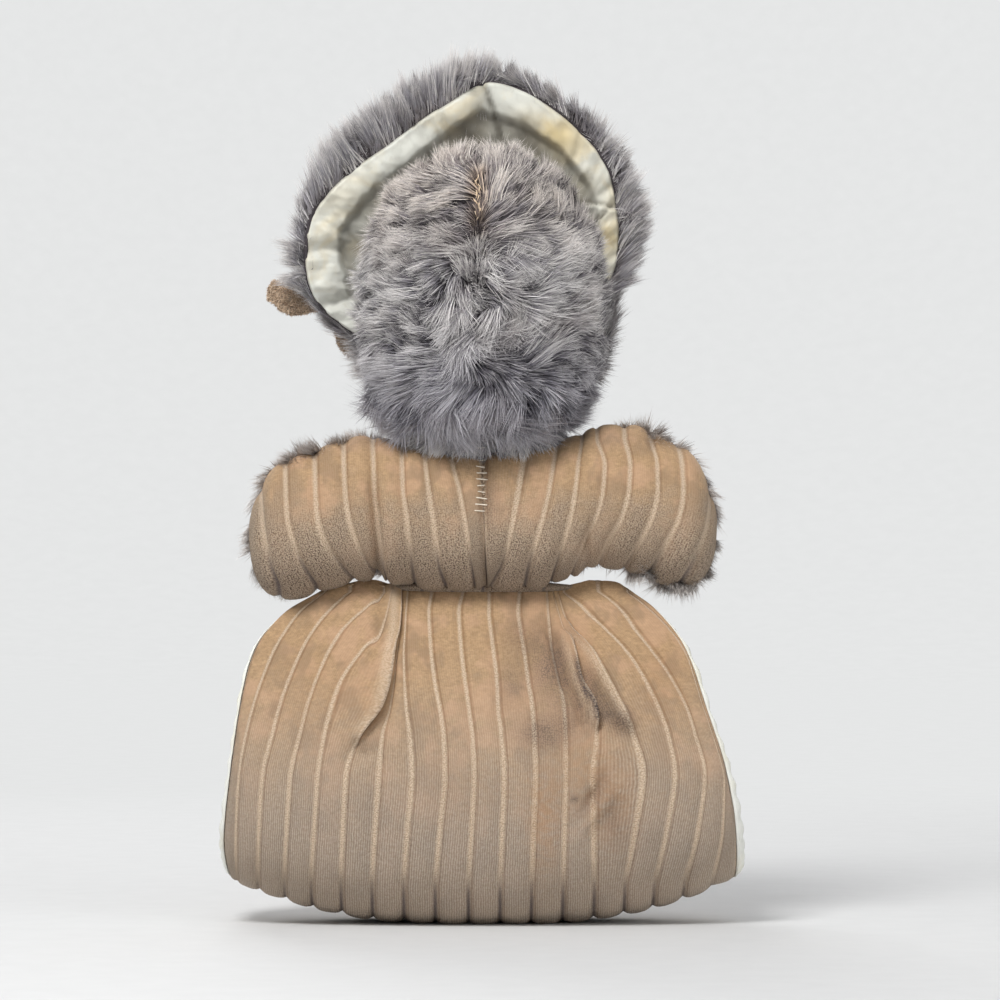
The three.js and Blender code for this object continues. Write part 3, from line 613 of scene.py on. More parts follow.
def muff_bottom(x):
    return 18 * min(1.1, abs(x) / MUFF_HALF_WIDTH) ** 2.5 - 0.5


def height_share(angle):
    return min(1.0, max(0.0, (1 + math.sin(angle)) / 2))


def pear_point(angle, x, low, high, half_depth, pear):
    lower, upper = pear
    share, widest = height_share(angle), lower / (lower + upper)
    full = widest**lower * (1 - widest) ** upper
    y = math.copysign(half_depth * share**lower * (1 - share) ** upper / full, math.cos(angle))
    return Vector((x, y, mix(low, high, share)))


def muff_outer(angle, x):
    half_depth = MUFF_HALF_DEPTH * mix(1, 0.74, min(1.1, abs(x) / MUFF_HALF_WIDTH) ** 3)
    return pear_point(angle, x, muff_bottom(x), muff_top(x), half_depth, MUFF_PEAR)


def muff_inner(angle, x):
    top = min(HOLE_TOP, muff_top(x) - WALL_ABOVE_HOLE)
    return pear_point(angle, x, HOLE_BOTTOM, top, HOLE_HALF_DEPTH, HOLE_PEAR)


def rim_x(angle, side):
    return MUFF_HALF_WIDTH * along(LEFT_RIM if side > 0 else RIGHT_RIM, height_share(angle))


def wall_radius(angle, side):
    x = side * rim_x(angle, side)
    return (muff_outer(angle, x) - muff_inner(angle, x)).length / 2


def wall_point(angle, x, depth, beyond=0.0):
    outer, inner = muff_outer(angle, x), muff_inner(angle, x)
    point = outer.lerp(inner, depth / (outer - inner).length)
    return Vector((x + beyond, point.y, max(0.0, point.z)))


def rim_point(angle, side, degrees, depth):
    """A point of the rounded rim, at degrees from the outer face and a depth under its skin."""
    radius, turn = wall_radius(angle, side), math.radians(degrees)
    return wall_point(angle, side * rim_x(angle, side), radius - (radius - depth) * math.cos(turn),
                      side * (radius - depth) * math.sin(turn))


# %% [markdown]
# ## Where the ribs run
# The velour has 16 ribs across the muff. The lines between them run straight up from the bottom, lean in
# with the rounded shoulders and gather at the waist, and two tucks swallow a rib each. The table gives each
# line's place at ten heights. The hidden front keeps plain lines without the tucks.

# %% Each line's x at ten heights, in millimetres, from the doll's left to its right
LINE_HEIGHTS = [18.5, 42.2, 66.9, 83.2, 94.6, 106.0, 119.2, 128.0, 136.8, 144.8]
MUFF_LINES = [
    [107.8, 107.4, 106.0, 103.2, 100.3, 96.8, 91.7, 86.7, 80.1, 69.5],
    [98.3, 97.2, 95.5, 91.5, 88.7, 84.9, 79.6, 74.6, 67.5, 58.5],
    [86.5, 84.9, 83.2, 79.4, 76.6, 73.0, 67.3, 61.6, 51.9, 43.2],
    [74.6, 73.0, 71.3, 68.9, 66.2, 62.3, 52.8, 44.9, 41.6, 40.3],
    [61.6, 60.5, 59.2, 53.2, 44.9, 41.4, 39.6, 37.8, 37.4, 37.6],
    [48.0, 46.6, 44.9, 43.6, 40.5, 38.7, 37.4, 36.3, 35.6, 35.6],
    [34.3, 32.6, 30.6, 31.7, 33.4, 34.3, 34.8, 34.4, 34.0, 33.4],
    [20.7, 18.5, 16.3, 16.9, 18.6, 20.9, 22.6, 23.3, 23.8, 22.6],
    [6.2, 4.8, 3.7, 4.5, 6.0, 7.7, 9.4, 10.1, 10.6, 8.8],
    [-7.5, -8.4, -9.2, -8.1, -6.6, -6.2, -4.6, -3.5, -2.6, -2.6],
    [-21.1, -22.0, -22.9, -22.4, -21.6, -19.8, -18.0, -16.5, -15.4, -16.1],
    [-34.8, -35.4, -36.1, -35.9, -35.4, -33.2, -30.6, -29.5, -28.8, -28.4],
    [-48.4, -47.5, -47.1, -49.1, -48.0, -41.6, -38.3, -35.6, -33.0, -30.8],
    [-61.6, -66.0, -69.5, -65.3, -60.1, -54.1, -46.6, -38.3, -34.8, -33.0],
    [-74.4, -79.6, -83.2, -80.5, -76.6, -71.3, -62.9, -54.1, -44.0, -35.2],
    [-87.6, -93.3, -96.4, -92.4, -88.9, -83.2, -73.9, -66.9, -60.7, -50.6],
    [-100.1, -104.3, -105.2, -101.9, -97.7, -94.6, -88.4, -82.7, -73.9, -63.8],
]
MUFF_RIBS, MUFF_ROUND, RIB_PITCH = len(MUFF_LINES) - 1, 60, 13.6
line_stations = stations_of(LINE_HEIGHTS, MUFF_LINES)
LEFT_TUCK, RIGHT_TUCK = 4, 12  # the lines whose ribs the two tucks fold over
RIB_STEPS = [0, 0.06, 0.14, 0.26, 0.42, 0.58, 0.74, 0.86, 0.94]  # places across a rib, closer near its lines
print(MUFF_RIBS, "ribs across the muff")


def line_x(k, z, angle):
    """Line k's place at a height, on the back as measured and on the front as a plain fan."""
    if math.cos(angle) >= 0:
        return along(line_stations[k], z)
    foot = MUFF_LINES[k][0]
    lean = (1 - along(LEFT_RIM if foot > 0 else RIGHT_RIM, height_share(angle))) * (abs(foot) / 106) ** 1.5
    return foot * (1 - lean)


# %% [markdown]
# ## The muff's velour cover
# Between two lines the padding puffs each rib up, less near the waist and more near the bottom, where the
# lines cut deep grooves. The left tuck folds one rib over the next in a sharp edge that runs out in a bulge,
# and the right one is a pair of soft ridges with a crease between them.


# %% From a place along the cloth's width to a point of the wall
def skin_point(angle, across, lift):
    """across counts millimetres along the skin from the middle, on over the rim; lift stands out from it."""
    side = 1 if across >= 0 else -1
    rim = rim_x(angle, side)
    if abs(across) <= rim:
        return wall_point(angle, across, -lift)
    radius = wall_radius(angle, side)
    return rim_point(angle, side, math.degrees((abs(across) - rim) / radius), -lift)


def skin_place(angle, x, seam_margin):
    """The place along the skin of a line at x, kept a margin short of the seam on the rim."""
    side = 1 if x >= 0 else -1
    rim, radius = rim_x(angle, side), wall_radius(angle, side)
    seam = rim + radius * math.radians(RIM_SEAM[side])
    if abs(x) > rim:
        x = side * (rim + radius * math.asin(min(1.0, (abs(x) - rim) / radius)))
    return side * min(abs(x), seam - seam_margin)


def overlap(off, lap, over, under):
    """A fold's edge at off = 0: the cloth on the plus side stands over and slides, and the other dips."""
    if off >= -0.05:
        return over * math.exp(-off / 2.4), -lap * math.exp(-off / 1.8)
    return -under * math.exp(off / 2.2), 0.0


def spots_at(point, spots):
    """The sum of a list of soft spots (x, z, half width, half height, strength) at a point."""
    return sum(strength * bump(point.x, x, wide) * bump(point.z, z, tall) for x, z, wide, tall,
               strength in spots)


# The small swells and dips round the tucks, in millimetres
FOLDS = [(62, 72, 14, 22, 1.4), (53.5, 82, 3.4, 4.5, 2.2), (51, 75, 4, 3, -1.8), (-61, 90.5, 4, 5, 2.8),
         (-56.5, 84, 3.2, 3, -2.8), (-50, 70, 3.5, 14, 1.3), (-55, 68, 3, 12, -1.3)]


def pocket_place(x, z):
    """How far a place is from the right tuck's line, and which share it is of the way to the next line."""
    line_a, line_b = along(line_stations[RIGHT_TUCK], z), along(line_stations[RIGHT_TUCK + 1], z)
    return x - line_a, (line_a - x) / max(1.5, line_a - line_b)


def fold_slope(x, z):
    """The distance from the slanting fold low on the right."""
    return (x + 52) * 0.82 + (z - 55) * 0.57


def tucks(x, z):
    """How far the back's tucks and folds stand out and slide at a place."""
    off = x - along(line_stations[LEFT_TUCK], z)
    edge = smooth_step(76, 86, z)
    out, slide = overlap(off, 1.9 * edge, 3.2 * edge, 2.8 * edge)
    out += edge * (2.4 * bump(off, 2.4, 2.0) - 2.2 * smooth_step(94, 108, z) * bump(off, 7.8, 2.3))
    out += 4.2 * bump(off, 7.5, 6.5) * bump(z, 96, 14)
    off, across = pocket_place(x, z)
    edge = smooth_step(83, 90, z) * smooth_step(131, 121, z)
    step, lap = overlap(off, 1.9 * edge, 2.6 * edge, 4.2 * edge)
    out, slide = out + step * smooth_step(-14, -6, off), slide + lap * smooth_step(8, 3, off)
    out += edge * (2.8 * bump(off, 2.0, 1.5) - 3.4 * bump(off, 6.0, 2.1) + 1.6 * bump(off, 11, 2.4))
    out -= 3.1 * edge * smooth_step(120, 108, z) * bump(across, 0.42, 0.3)
    out += 3.6 * smooth_step(82, 90, z) * smooth_step(137, 126, z) * bump(across, 1.0, 0.2)
    slope = fold_slope(x, z)
    out += (3.0 * bump(slope, 0, 3.0) - 2.8 * bump(slope, 5.0, 2.4)) * bump(x, -52, 11) * bump(z, 55, 14)
    return out + spots_at(Vector((x, 0, z)), FOLDS), slide


# %% The cover's grid: a closed sleeve of cloth round the muff
SEAM_MARGIN = 1.6
END_STEPS = 3
muff_columns = [("end", 1, i / END_STEPS) for i in range(END_STEPS)]
muff_columns += [("rib", k, share) for k in range(MUFF_RIBS) for share in RIB_STEPS]
muff_columns += [("rib", MUFF_RIBS, 0)] + [("end", -1, (i + 1) / END_STEPS) for i in range(END_STEPS)]
BACK_STEPS, FRONT_STEPS = 180, 70  # the back has the tucks, so its rows are finer
muff_rows = [math.pi * (i / BACK_STEPS - 0.5) for i in range(BACK_STEPS)]
muff_rows += [math.pi * (0.5 + i / FRONT_STEPS) for i in range(FRONT_STEPS + 1)]


def line_place(k, angle):
    """Where line k crosses this row of the cover. The height depends on x, so it takes three rounds."""
    x = MUFF_LINES[k][3]
    for _ in range(3):
        x = line_x(k, mix(muff_bottom(x), muff_top(x), height_share(angle)), angle)
    return skin_place(angle, x, SEAM_MARGIN)


row_lines = {angle: [line_place(k, angle) for k in range(MUFF_RIBS + 1)] for angle in muff_rows}


def rib_puff(share, tight):
    """A rib's crown across its width: flat with soft shoulders, or round between deep grooves if tight."""
    soft = smooth_step(0.03, 0.34, min(share, 1 - share))
    round_rib = (1 - abs(2 * share - 1) ** 2.6) ** 0.75 if 0 < share < 1 else 0.0
    return mix(soft, round_rib, tight)


def cover_point(column, angle):
    kind, k, share = column
    lines = row_lines[angle]
    if kind == "end":
        seam = rim_x(angle, k) + wall_radius(angle, k) * math.radians(RIM_SEAM[k])
        first, last = (k * seam, lines[0]) if k > 0 else (lines[-1], k * seam)
        turned_in = -0.7 if share in (0.0, 1.0) and abs(mix(first, last, share)) > seam - 0.01 else 0.0
        return skin_point(angle, mix(first, last, share), turned_in)
    across = mix(lines[k], lines[min(k + 1, MUFF_RIBS)], share)
    point = skin_point(angle, across, 0)
    width = abs(lines[k] - lines[min(k + 1, MUFF_RIBS)])
    low = smooth_step(34, 5, point.z)
    lift = rib_puff(share, 0.5 * low) * min(1.0, width / 9) * mix(1.1, 1.3, low)
    gathered = smooth_step(0.955, 0.995, height_share(angle))
    lift -= bump(min(share, 1 - share), 0, 0.07) * (mix(0.25, 0.7, low) + 0.8 * gathered)
    slide = 0.0
    if math.cos(angle) >= 0:
        share_of_tuck = smooth_step(0.0, 0.12, math.cos(angle))
        out, slide = tucks(point.x, point.z)
        lift, slide = lift + out * share_of_tuck, slide * share_of_tuck
    lift += 0.7 * noise.noise(Vector((point.x, point.y, point.z)) * 0.045)
    lift += 0.25 * noise.noise(Vector((point.x, point.y, point.z * 0.5)) * 0.22)
    return skin_point(angle, across + slide, lift
                      * mix(1.0, 0.5, smooth_step(0.93, 1.0, height_share(angle))))


def cover_pattern(column, angle):
    kind, k, share = column
    across = k + share if kind == "rib" else (-1 + share if k > 0 else MUFF_RIBS + share)
    return (across, (angle + math.pi / 2) * MUFF_ROUND / RIB_PITCH)


# Dark spots of the back, as x, z, half width, half height and strength: soil, and round the right tuck
# painted shade in its pocket as well.
SOIL_AND_SHADE_SPOTS = [(-28, 113, 8, 14, 0.6), (-16, 126, 9, 7, 0.35), (-37, 103, 7, 17, 0.25), (-26, 84, 11, 7, 0.6),
              (-12, 106, 6, 12, 0.35), (-44, 92, 12, 8, 0.25), (48, 58, 10, 8, 0.1),
              (-39.6, 56, 1.5, 1.5, 0.9), (-61, 88, 5, 6, 0.6),
              (20, 62, 16, 22, 0.08), (-70, 40, 18, 14, 0.1), (-56, 50, 4, 12, 0.3)]
RUST_SPOTS = [(-27, 48, 7, 26, 0.5), (-44, 70, 12, 20, 0.4), (-56, 52, 9, 18, 0.5), (50, 98, 9, 13, 0.25),
              (-30, 128, 22, 9, 0.25),
              (-78, 104, 12, 22, 0.3), (75, 100, 14, 20, 0.2), (0, 60, 30, 16, 0.15)]


def stain(point, spots):
    """How strongly the spots mark a point of the back."""
    return min(0.9, spots_at(point, spots)) if point.y > 0 else 0.0


def muff_soil_and_shade(point):
    """Spots of soil and painted shade, and painted shade in the right tuck's pocket, along its crease and
    groove, and along the low slanting fold.
    """
    off, across = pocket_place(point.x, point.z)
    # Painted shade in the pocket, along the crease and groove beside it, and along the low fold.
    pocket_shade = 0.5 * bump(across, 0.42, 0.36) * smooth_step(85, 93, point.z) * smooth_step(119, 107, point.z)
    pocket_shade += 0.6 * bump(off, -1.4, 1.1) * smooth_step(88, 93, point.z) * smooth_step(122, 112, point.z)
    pocket_shade += 0.25 * bump(off, 5.6, 2.0) * smooth_step(90, 98, point.z) * smooth_step(126, 118, point.z)
    slope = fold_slope(point.x, point.z)
    pocket_shade += 0.4 * bump(slope, 4.6, 2.4) * bump(point.x, -50, 9) * bump(point.z, 56, 12)
    return stain(point, SOIL_AND_SHADE_SPOTS) + (pocket_shade if point.y > 0 else 0.0)


def muff_core(face):
    return Vector((face.calc_center_median().x, 0, 0.07))


def bare_and_lit_folds(point):
    """The pale knit that shows along the tucks' folded edges, partly a painted highlight on their crests."""
    if point.y <= 0:
        return 0.0
    x, z = point.x, point.z
    left = 0.7 * bump(x - along(line_stations[LEFT_TUCK], z), 1.6, 2.2) * smooth_step(78, 92, z)
    right = 0.6 * bump(x - along(line_stations[RIGHT_TUCK], z), 1.4,
                       1.4) * smooth_step(84, 93, z) * smooth_step(130, 120, z)
    ridge = 0.7 * bump(x - along(line_stations[RIGHT_TUCK + 1], z), 0.4,
                       1.6) * smooth_step(84, 93, z) * smooth_step(134, 124, z)
    return left + right + ridge


bm = cloth_grid(muff_columns, muff_rows, cover_point, cover_pattern,
                {"soil": muff_soil_and_shade, "rust": lambda p: stain(p, RUST_SPOTS), "bare": bare_and_lit_folds})
cover = finished(bm, "velour_cover", muff_velour, muff_core, VELOUR_WALL)
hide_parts("muff_cover")
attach(cover, "muff")
print("cover", len(cover.data.polygons), "faces")

# %% [markdown]
# ## The muff's satin lining
# The lining starts at the seam on each rim, rolls over it and runs through the hand hole. At the rims it is
# gathered, so fine folds run into the hole and fade.

# %% The lining's grid
LINING_STEPS = 34
lining_columns = [i / LINING_STEPS for i in range(LINING_STEPS + 1)]
LINING_AROUND = 168
lining_rows = [2 * math.pi * i / LINING_AROUND - math.pi / 2 for i in range(LINING_AROUND + 1)]
ROLL_SHARE = 0.3  # the share of the columns on each rim


def lining_point(share, angle):
    side = 1 if share < 0.5 else -1
    from_rim = min(share, 1 - share)
    gather = 0.45 * math.sin(angle * 34 + 1.3 * math.sin(angle * 5))
    gather += 0.5 * noise.noise(Vector((angle * 6, side, 0)))
    if from_rim < ROLL_SHARE:
        degrees = mix(RIM_SEAM[side] + 2, 180, from_rim / ROLL_SHARE)
        fold = gather * smooth_step(0, 0.25, from_rim / ROLL_SHARE)
        fold += 0.45 * bump(degrees, 70, 15)
        return rim_point(angle, side, degrees, 0.2 - fold)
    x = mix(rim_x(angle, 1), -rim_x(angle, -1), (share - ROLL_SHARE) / (1 - 2 * ROLL_SHARE))
    fade = smooth_step(40, 100, abs(x))
    outer, inner = muff_outer(angle, x), muff_inner(angle, x)
    return wall_point(angle, x, (outer - inner).length - 0.2 + gather * fade)


# The lining turns darker towards the middle of the hand hole.
bm = cloth_grid(lining_columns, lining_rows, lining_point, lambda s, a: (s * 17, a * 5),
                {"soil": lambda p: 0.25 * smooth_step(90, 40, abs(p.x))})
lining = finished(bm, "satin_lining", muff_satin, thickness=SATIN_WALL)
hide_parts("muff_lining")
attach(lining, "muff")
print("lining", len(lining.data.polygons), "faces")

# %% [markdown]
# ## The bolster of torso and arms
# Torso and arms are one stuffed bolster that lies across the doll. Its back is two halves of ribbed velour,
# which meet at a hand-sewn seam in the middle, and its front is plush. Each half bends at the shoulder, so
# each is one piece that blends from torso to arm.

# %% The bolster's form, with the CAD's numbers in millimetres
WAIST_Z = 146.76
ARM_REACH, TIP_ROUNDING, BOLSTER_HALF_DEPTH = 102, 15, 22.5
STRAIGHT, TIP = ARM_REACH - TIP_ROUNDING, ARM_REACH - TIP_ROUNDING + TIP_ROUNDING * math.pi / 2
SHOULDER_Z, BEND_START, BEND_END = 0.177, 0.030, 0.058  # where an arm bends from the torso, in metres
LEFT_SIDE = [[0, 61, -0.6], [22, 61.4, -0.4], [40, 64, 4.0], [52, 65.5, 4.4], [65, 62.5, 1], [81, 57, -3.6],
             [102, 50, -6]]
RIGHT_SIDE = [[0, 61, -0.6], [22, 61.6, 0.2], [40, 66, 6.6], [52, 70.5, 9.6], [65, 70.5, 7.6], [81, 64, 2],
              [102, 54, -1.6]]


def bolster_point(across, turn, lift):
    """across counts millimetres along the skin from the middle, on over the tip. turn runs from the top at
    90 degrees over the back at 0 to the bottom at -90. lift stands out from the skin."""
    round_over = max(0.0, abs(across) - STRAIGHT) / TIP_ROUNDING
    cap = math.cos(min(math.pi / 2, round_over))
    x = math.copysign(min(abs(across), STRAIGHT) + (TIP_ROUNDING + lift)
                      * math.sin(min(math.pi / 2, round_over)), across)
    side = LEFT_SIDE if across > 0 else RIGHT_SIDE
    top, low = along(side, abs(x)) + WAIST_Z, along(side, abs(x), 2) + WAIST_Z
    c, s = math.cos(turn), math.sin(turn)
    c, s = math.copysign(abs(c) ** 0.9, c), math.copysign(abs(s) ** 0.9, s)
    return Vector((x, (BOLSTER_HALF_DEPTH * cap + lift * cap) * c,
                   (top + low) / 2 + ((top - low) / 2 * cap + lift * cap) * s))


def bolster_place(x):
    """The place along the skin of a line at x."""
    if abs(x) <= STRAIGHT:
        return x
    return math.copysign(STRAIGHT + TIP_ROUNDING * math.asin(min(1.0, (abs(x) - STRAIGHT) / TIP_ROUNDING)),
                         x)


# %% The lines between the back's ribs, at seven heights, from the seam out to each tip
BACK_HEIGHTS = [147.8, 156.6, 167.6, 178.6, 189.6, 200.6, 211.6]
LEFT_LINES = [
    [-1.8, -1.3, -0.9, -0.4, 0.0, 0.4, 0.9],
    [3.5, 4.8, 6.2, 7.9, 10.1, 13.2, 15.8],
    [16.3, 19.4, 20.7, 22.0, 23.8, 25.1, 26.4],
    [29.9, 31.0, 32.1, 33.2, 34.8, 35.2, 35.6],
    [40.9, 43.8, 45.3, 46.4, 47.3, 47.7, 48.4],
    [44.9, 49.7, 55.2, 58.7, 60.1, 60.7, 61.2],
    [54.1, 61.6, 69.1, 72.2, 73.0, 73.5, 74.4],
    [73.0, 78.3, 82.7, 85.4, 86.0, 86.7, 87.6],
    [89.3, 92.6, 94.8, 96.6, 97.7, 99.0, 99.4],
]
RIGHT_LINES = [
    [-1.8, -1.3, -0.9, -0.4, 0.0, 0.4, 0.9],
    [-3.1, -8.1, -11.2, -13.6, -15.6, -17.6, -19.8],
    [-18.5, -20.0, -23.3, -26.4, -29.0, -30.8, -32.6],
    [-29.5, -32.1, -35.6, -38.5, -40.3, -41.6, -43.6],
    [-36.5, -40.0, -44.9, -49.7, -52.4, -53.2, -49.7],
    [-47.5, -51.0, -55.0, -60.7, -63.6, -64.2, -62.0],
    [-58.1, -62.9, -69.1, -74.1, -76.3, -76.1, -73.5],
    [-69.5, -74.6, -80.1, -85.6, -87.3, -86.9, -84.9],
    [-85.8, -91.1, -95.9, -98.8, -99.9, -96.6, -94.2],
]
BACK_ROWS, BOLSTER_ROUND, BACK_RIB_PITCH = 96, 33, 12.7
back_rows = [math.radians(mix(-97, 97, i / BACK_ROWS)) for i in range(BACK_ROWS + 1)]


def back_grid(lines, side):
    stations = stations_of(BACK_HEIGHTS, lines)
    ribs = len(lines) - 1
    columns = [(k, share) for k in range(ribs) for share in RIB_STEPS]
    columns += [(ribs, i / 8) for i in range(9)]
    row_places = {}
    for turn in back_rows:
        places = []
        for k in range(ribs + 1):
            x = lines[k][3]
            for _ in range(4):
                x = along(stations[k], bolster_point(bolster_place(x), turn, 0).z)
            places.append(bolster_place(x))
        row_places[turn] = places

    def point(column, turn):
        k, share = column
        places = row_places[turn]
        onward = places[k + 1] if k < ribs else side * TIP
        across = mix(places[k], onward, share)
        base = bolster_point(across, turn, 0)
        low = smooth_step(24, 0, base.z - WAIST_Z)
        lift = rib_puff(share, 0.7 * low) * min(1.0, abs(onward - places[k]) / 9) * mix(1.1, 1.6, low)
        lift -= mix(0.5, 0.9, low) * bump(min(share, 1 - share), 0, 0.08)
        lift -= 1.6 * bump(across, -0.4, 1.6)
        up = base.z - WAIST_Z
        if side > 0:
            lift -= 4.4 * bump(base.x, mix(45.5, 48.5, up / 60), 2.0) * smooth_step(64, 25, up)
            lift += 2.2 * bump(base.x, 40.0, 4.5) * smooth_step(50, 12, up)
        else:
            lift -= 2.3 * bump(base.x, -45.5, 2.4) * smooth_step(36, 14, up)
            lift += 1.3 * bump(base.x, -39.5, 4) * smooth_step(30, 10, up)
        lift += 0.7 * noise.noise(Vector((base.x, 7, base.z)) * 0.05)
        return bolster_point(across, turn, lift)

    # Darker along the seam and along the top edge, and painted shade towards the bottom, where the torso
    # meets the muff.
    def soil(p):
        seam = 0.35 * bump(p.x, -3, 5) * bump(p.z, 189, 16) + 0.22 * smooth_step(168, 150, p.z)
        return seam + 0.2 * bump(p.z, 212, 5)

    return cloth_grid(columns, back_rows, point,
                      lambda c, t: (side * (c[0] + c[1]), t * BOLSTER_ROUND / BACK_RIB_PITCH),
                      {"soil": soil})


def bolster_core(face):
    return Vector((face.calc_center_median().x * 0.8, 0, 0.178))


def bend_at_shoulder(piece, side):
    start, end = (side * BEND_START, 0, SHOULDER_Z), (side * BEND_END, 0, SHOULDER_Z)
    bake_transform(piece, "torso", "left_arm" if side > 0 else "right_arm", start=start, end=end)


velour_backs = {}
for side, lines, name in ((1, LEFT_LINES, "left"), (-1, RIGHT_LINES, "right")):
    back = finished(back_grid(lines, side), f"velour_back_{name}", back_velour, bolster_core, VELOUR_WALL)
    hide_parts(f"torso_back_{name}", f"{name}_arm_back_velour")
    bend_at_shoulder(back, side)
    velour_backs[side] = back
    print(back.name, len(back.data.polygons), "faces")

# %% [markdown]
# ## The waist seam
# The torso is sewn to the muff's top edge, and the two edges' turnings make a thin roll of velour between
# them. It lies along the hinge's line, so it hardly moves when the doll bends at the waist.

# %% The roll between torso and muff
WAIST_ROLL_HALF_WIDTH, WAIST_ROLL_DEPTH, WAIST_ROLL_HEIGHT = 40, 5.0, 2.3


def waist_roll_point(share, turn):
    x = WAIST_ROLL_HALF_WIDTH * (2 * share - 1)
    end = math.sqrt(max(0.0, 1 - (2 * share - 1) ** 4)) if 0 < share < 1 else 0.0
    sag = muff_top(x) - MUFF_WAIST
    return Vector((x, WAIST_ROLL_DEPTH * end * math.cos(turn), 146.8 + 0.5 * sag + WAIST_ROLL_HEIGHT * end
                   * math.sin(turn)))


WAIST_ROLL_COLUMNS, WAIST_ROLL_ROWS = 60, 20
# The roll is darkened evenly, a painted shade for its place in the crease between torso and muff.
bm = cloth_grid([i / WAIST_ROLL_COLUMNS for i in range(WAIST_ROLL_COLUMNS + 1)],
                [2 * math.pi * i / WAIST_ROLL_ROWS for i in range(WAIST_ROLL_ROWS + 1)], waist_roll_point,
                lambda s, t: (s * 6, t * 0.3), {"soil": lambda p: 0.3})
waist_roll = finished(bm, "waist_seam", back_velour,
                      lambda face: Vector((face.calc_center_median().x, 0, 0.1468)))
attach(waist_roll, "muff")
print("waist seam", len(waist_roll.data.polygons), "faces")

# %% [markdown]
# ## Plush pile
# The plush is grown as real blades, because strands as hair curves are lost in the export. Each blade is a
# narrow strip of three triangles. Geometry Nodes scatters points over the backing cloth, stands a blade on
# each and leans it the way the pile is combed. Then it bends the tips towards the middle of their lock.


# %% One blade of the pile, one unit long and one wide
def make_blade(name, material):
    bm = bmesh.new()
    bmesh.ops.create_grid(bm, x_segments=1, y_segments=2, size=0.5)
    share = bm.verts.layers.float.new("t")
    for vert in bm.verts:
        t = vert.co.y + 0.5
        vert[share] = t
        vert.co = Vector((vert.co.x * (1 - 0.4 * t) if t < 0.99 else 0.0, 0.0, t))
    return finished(bm, name, material)


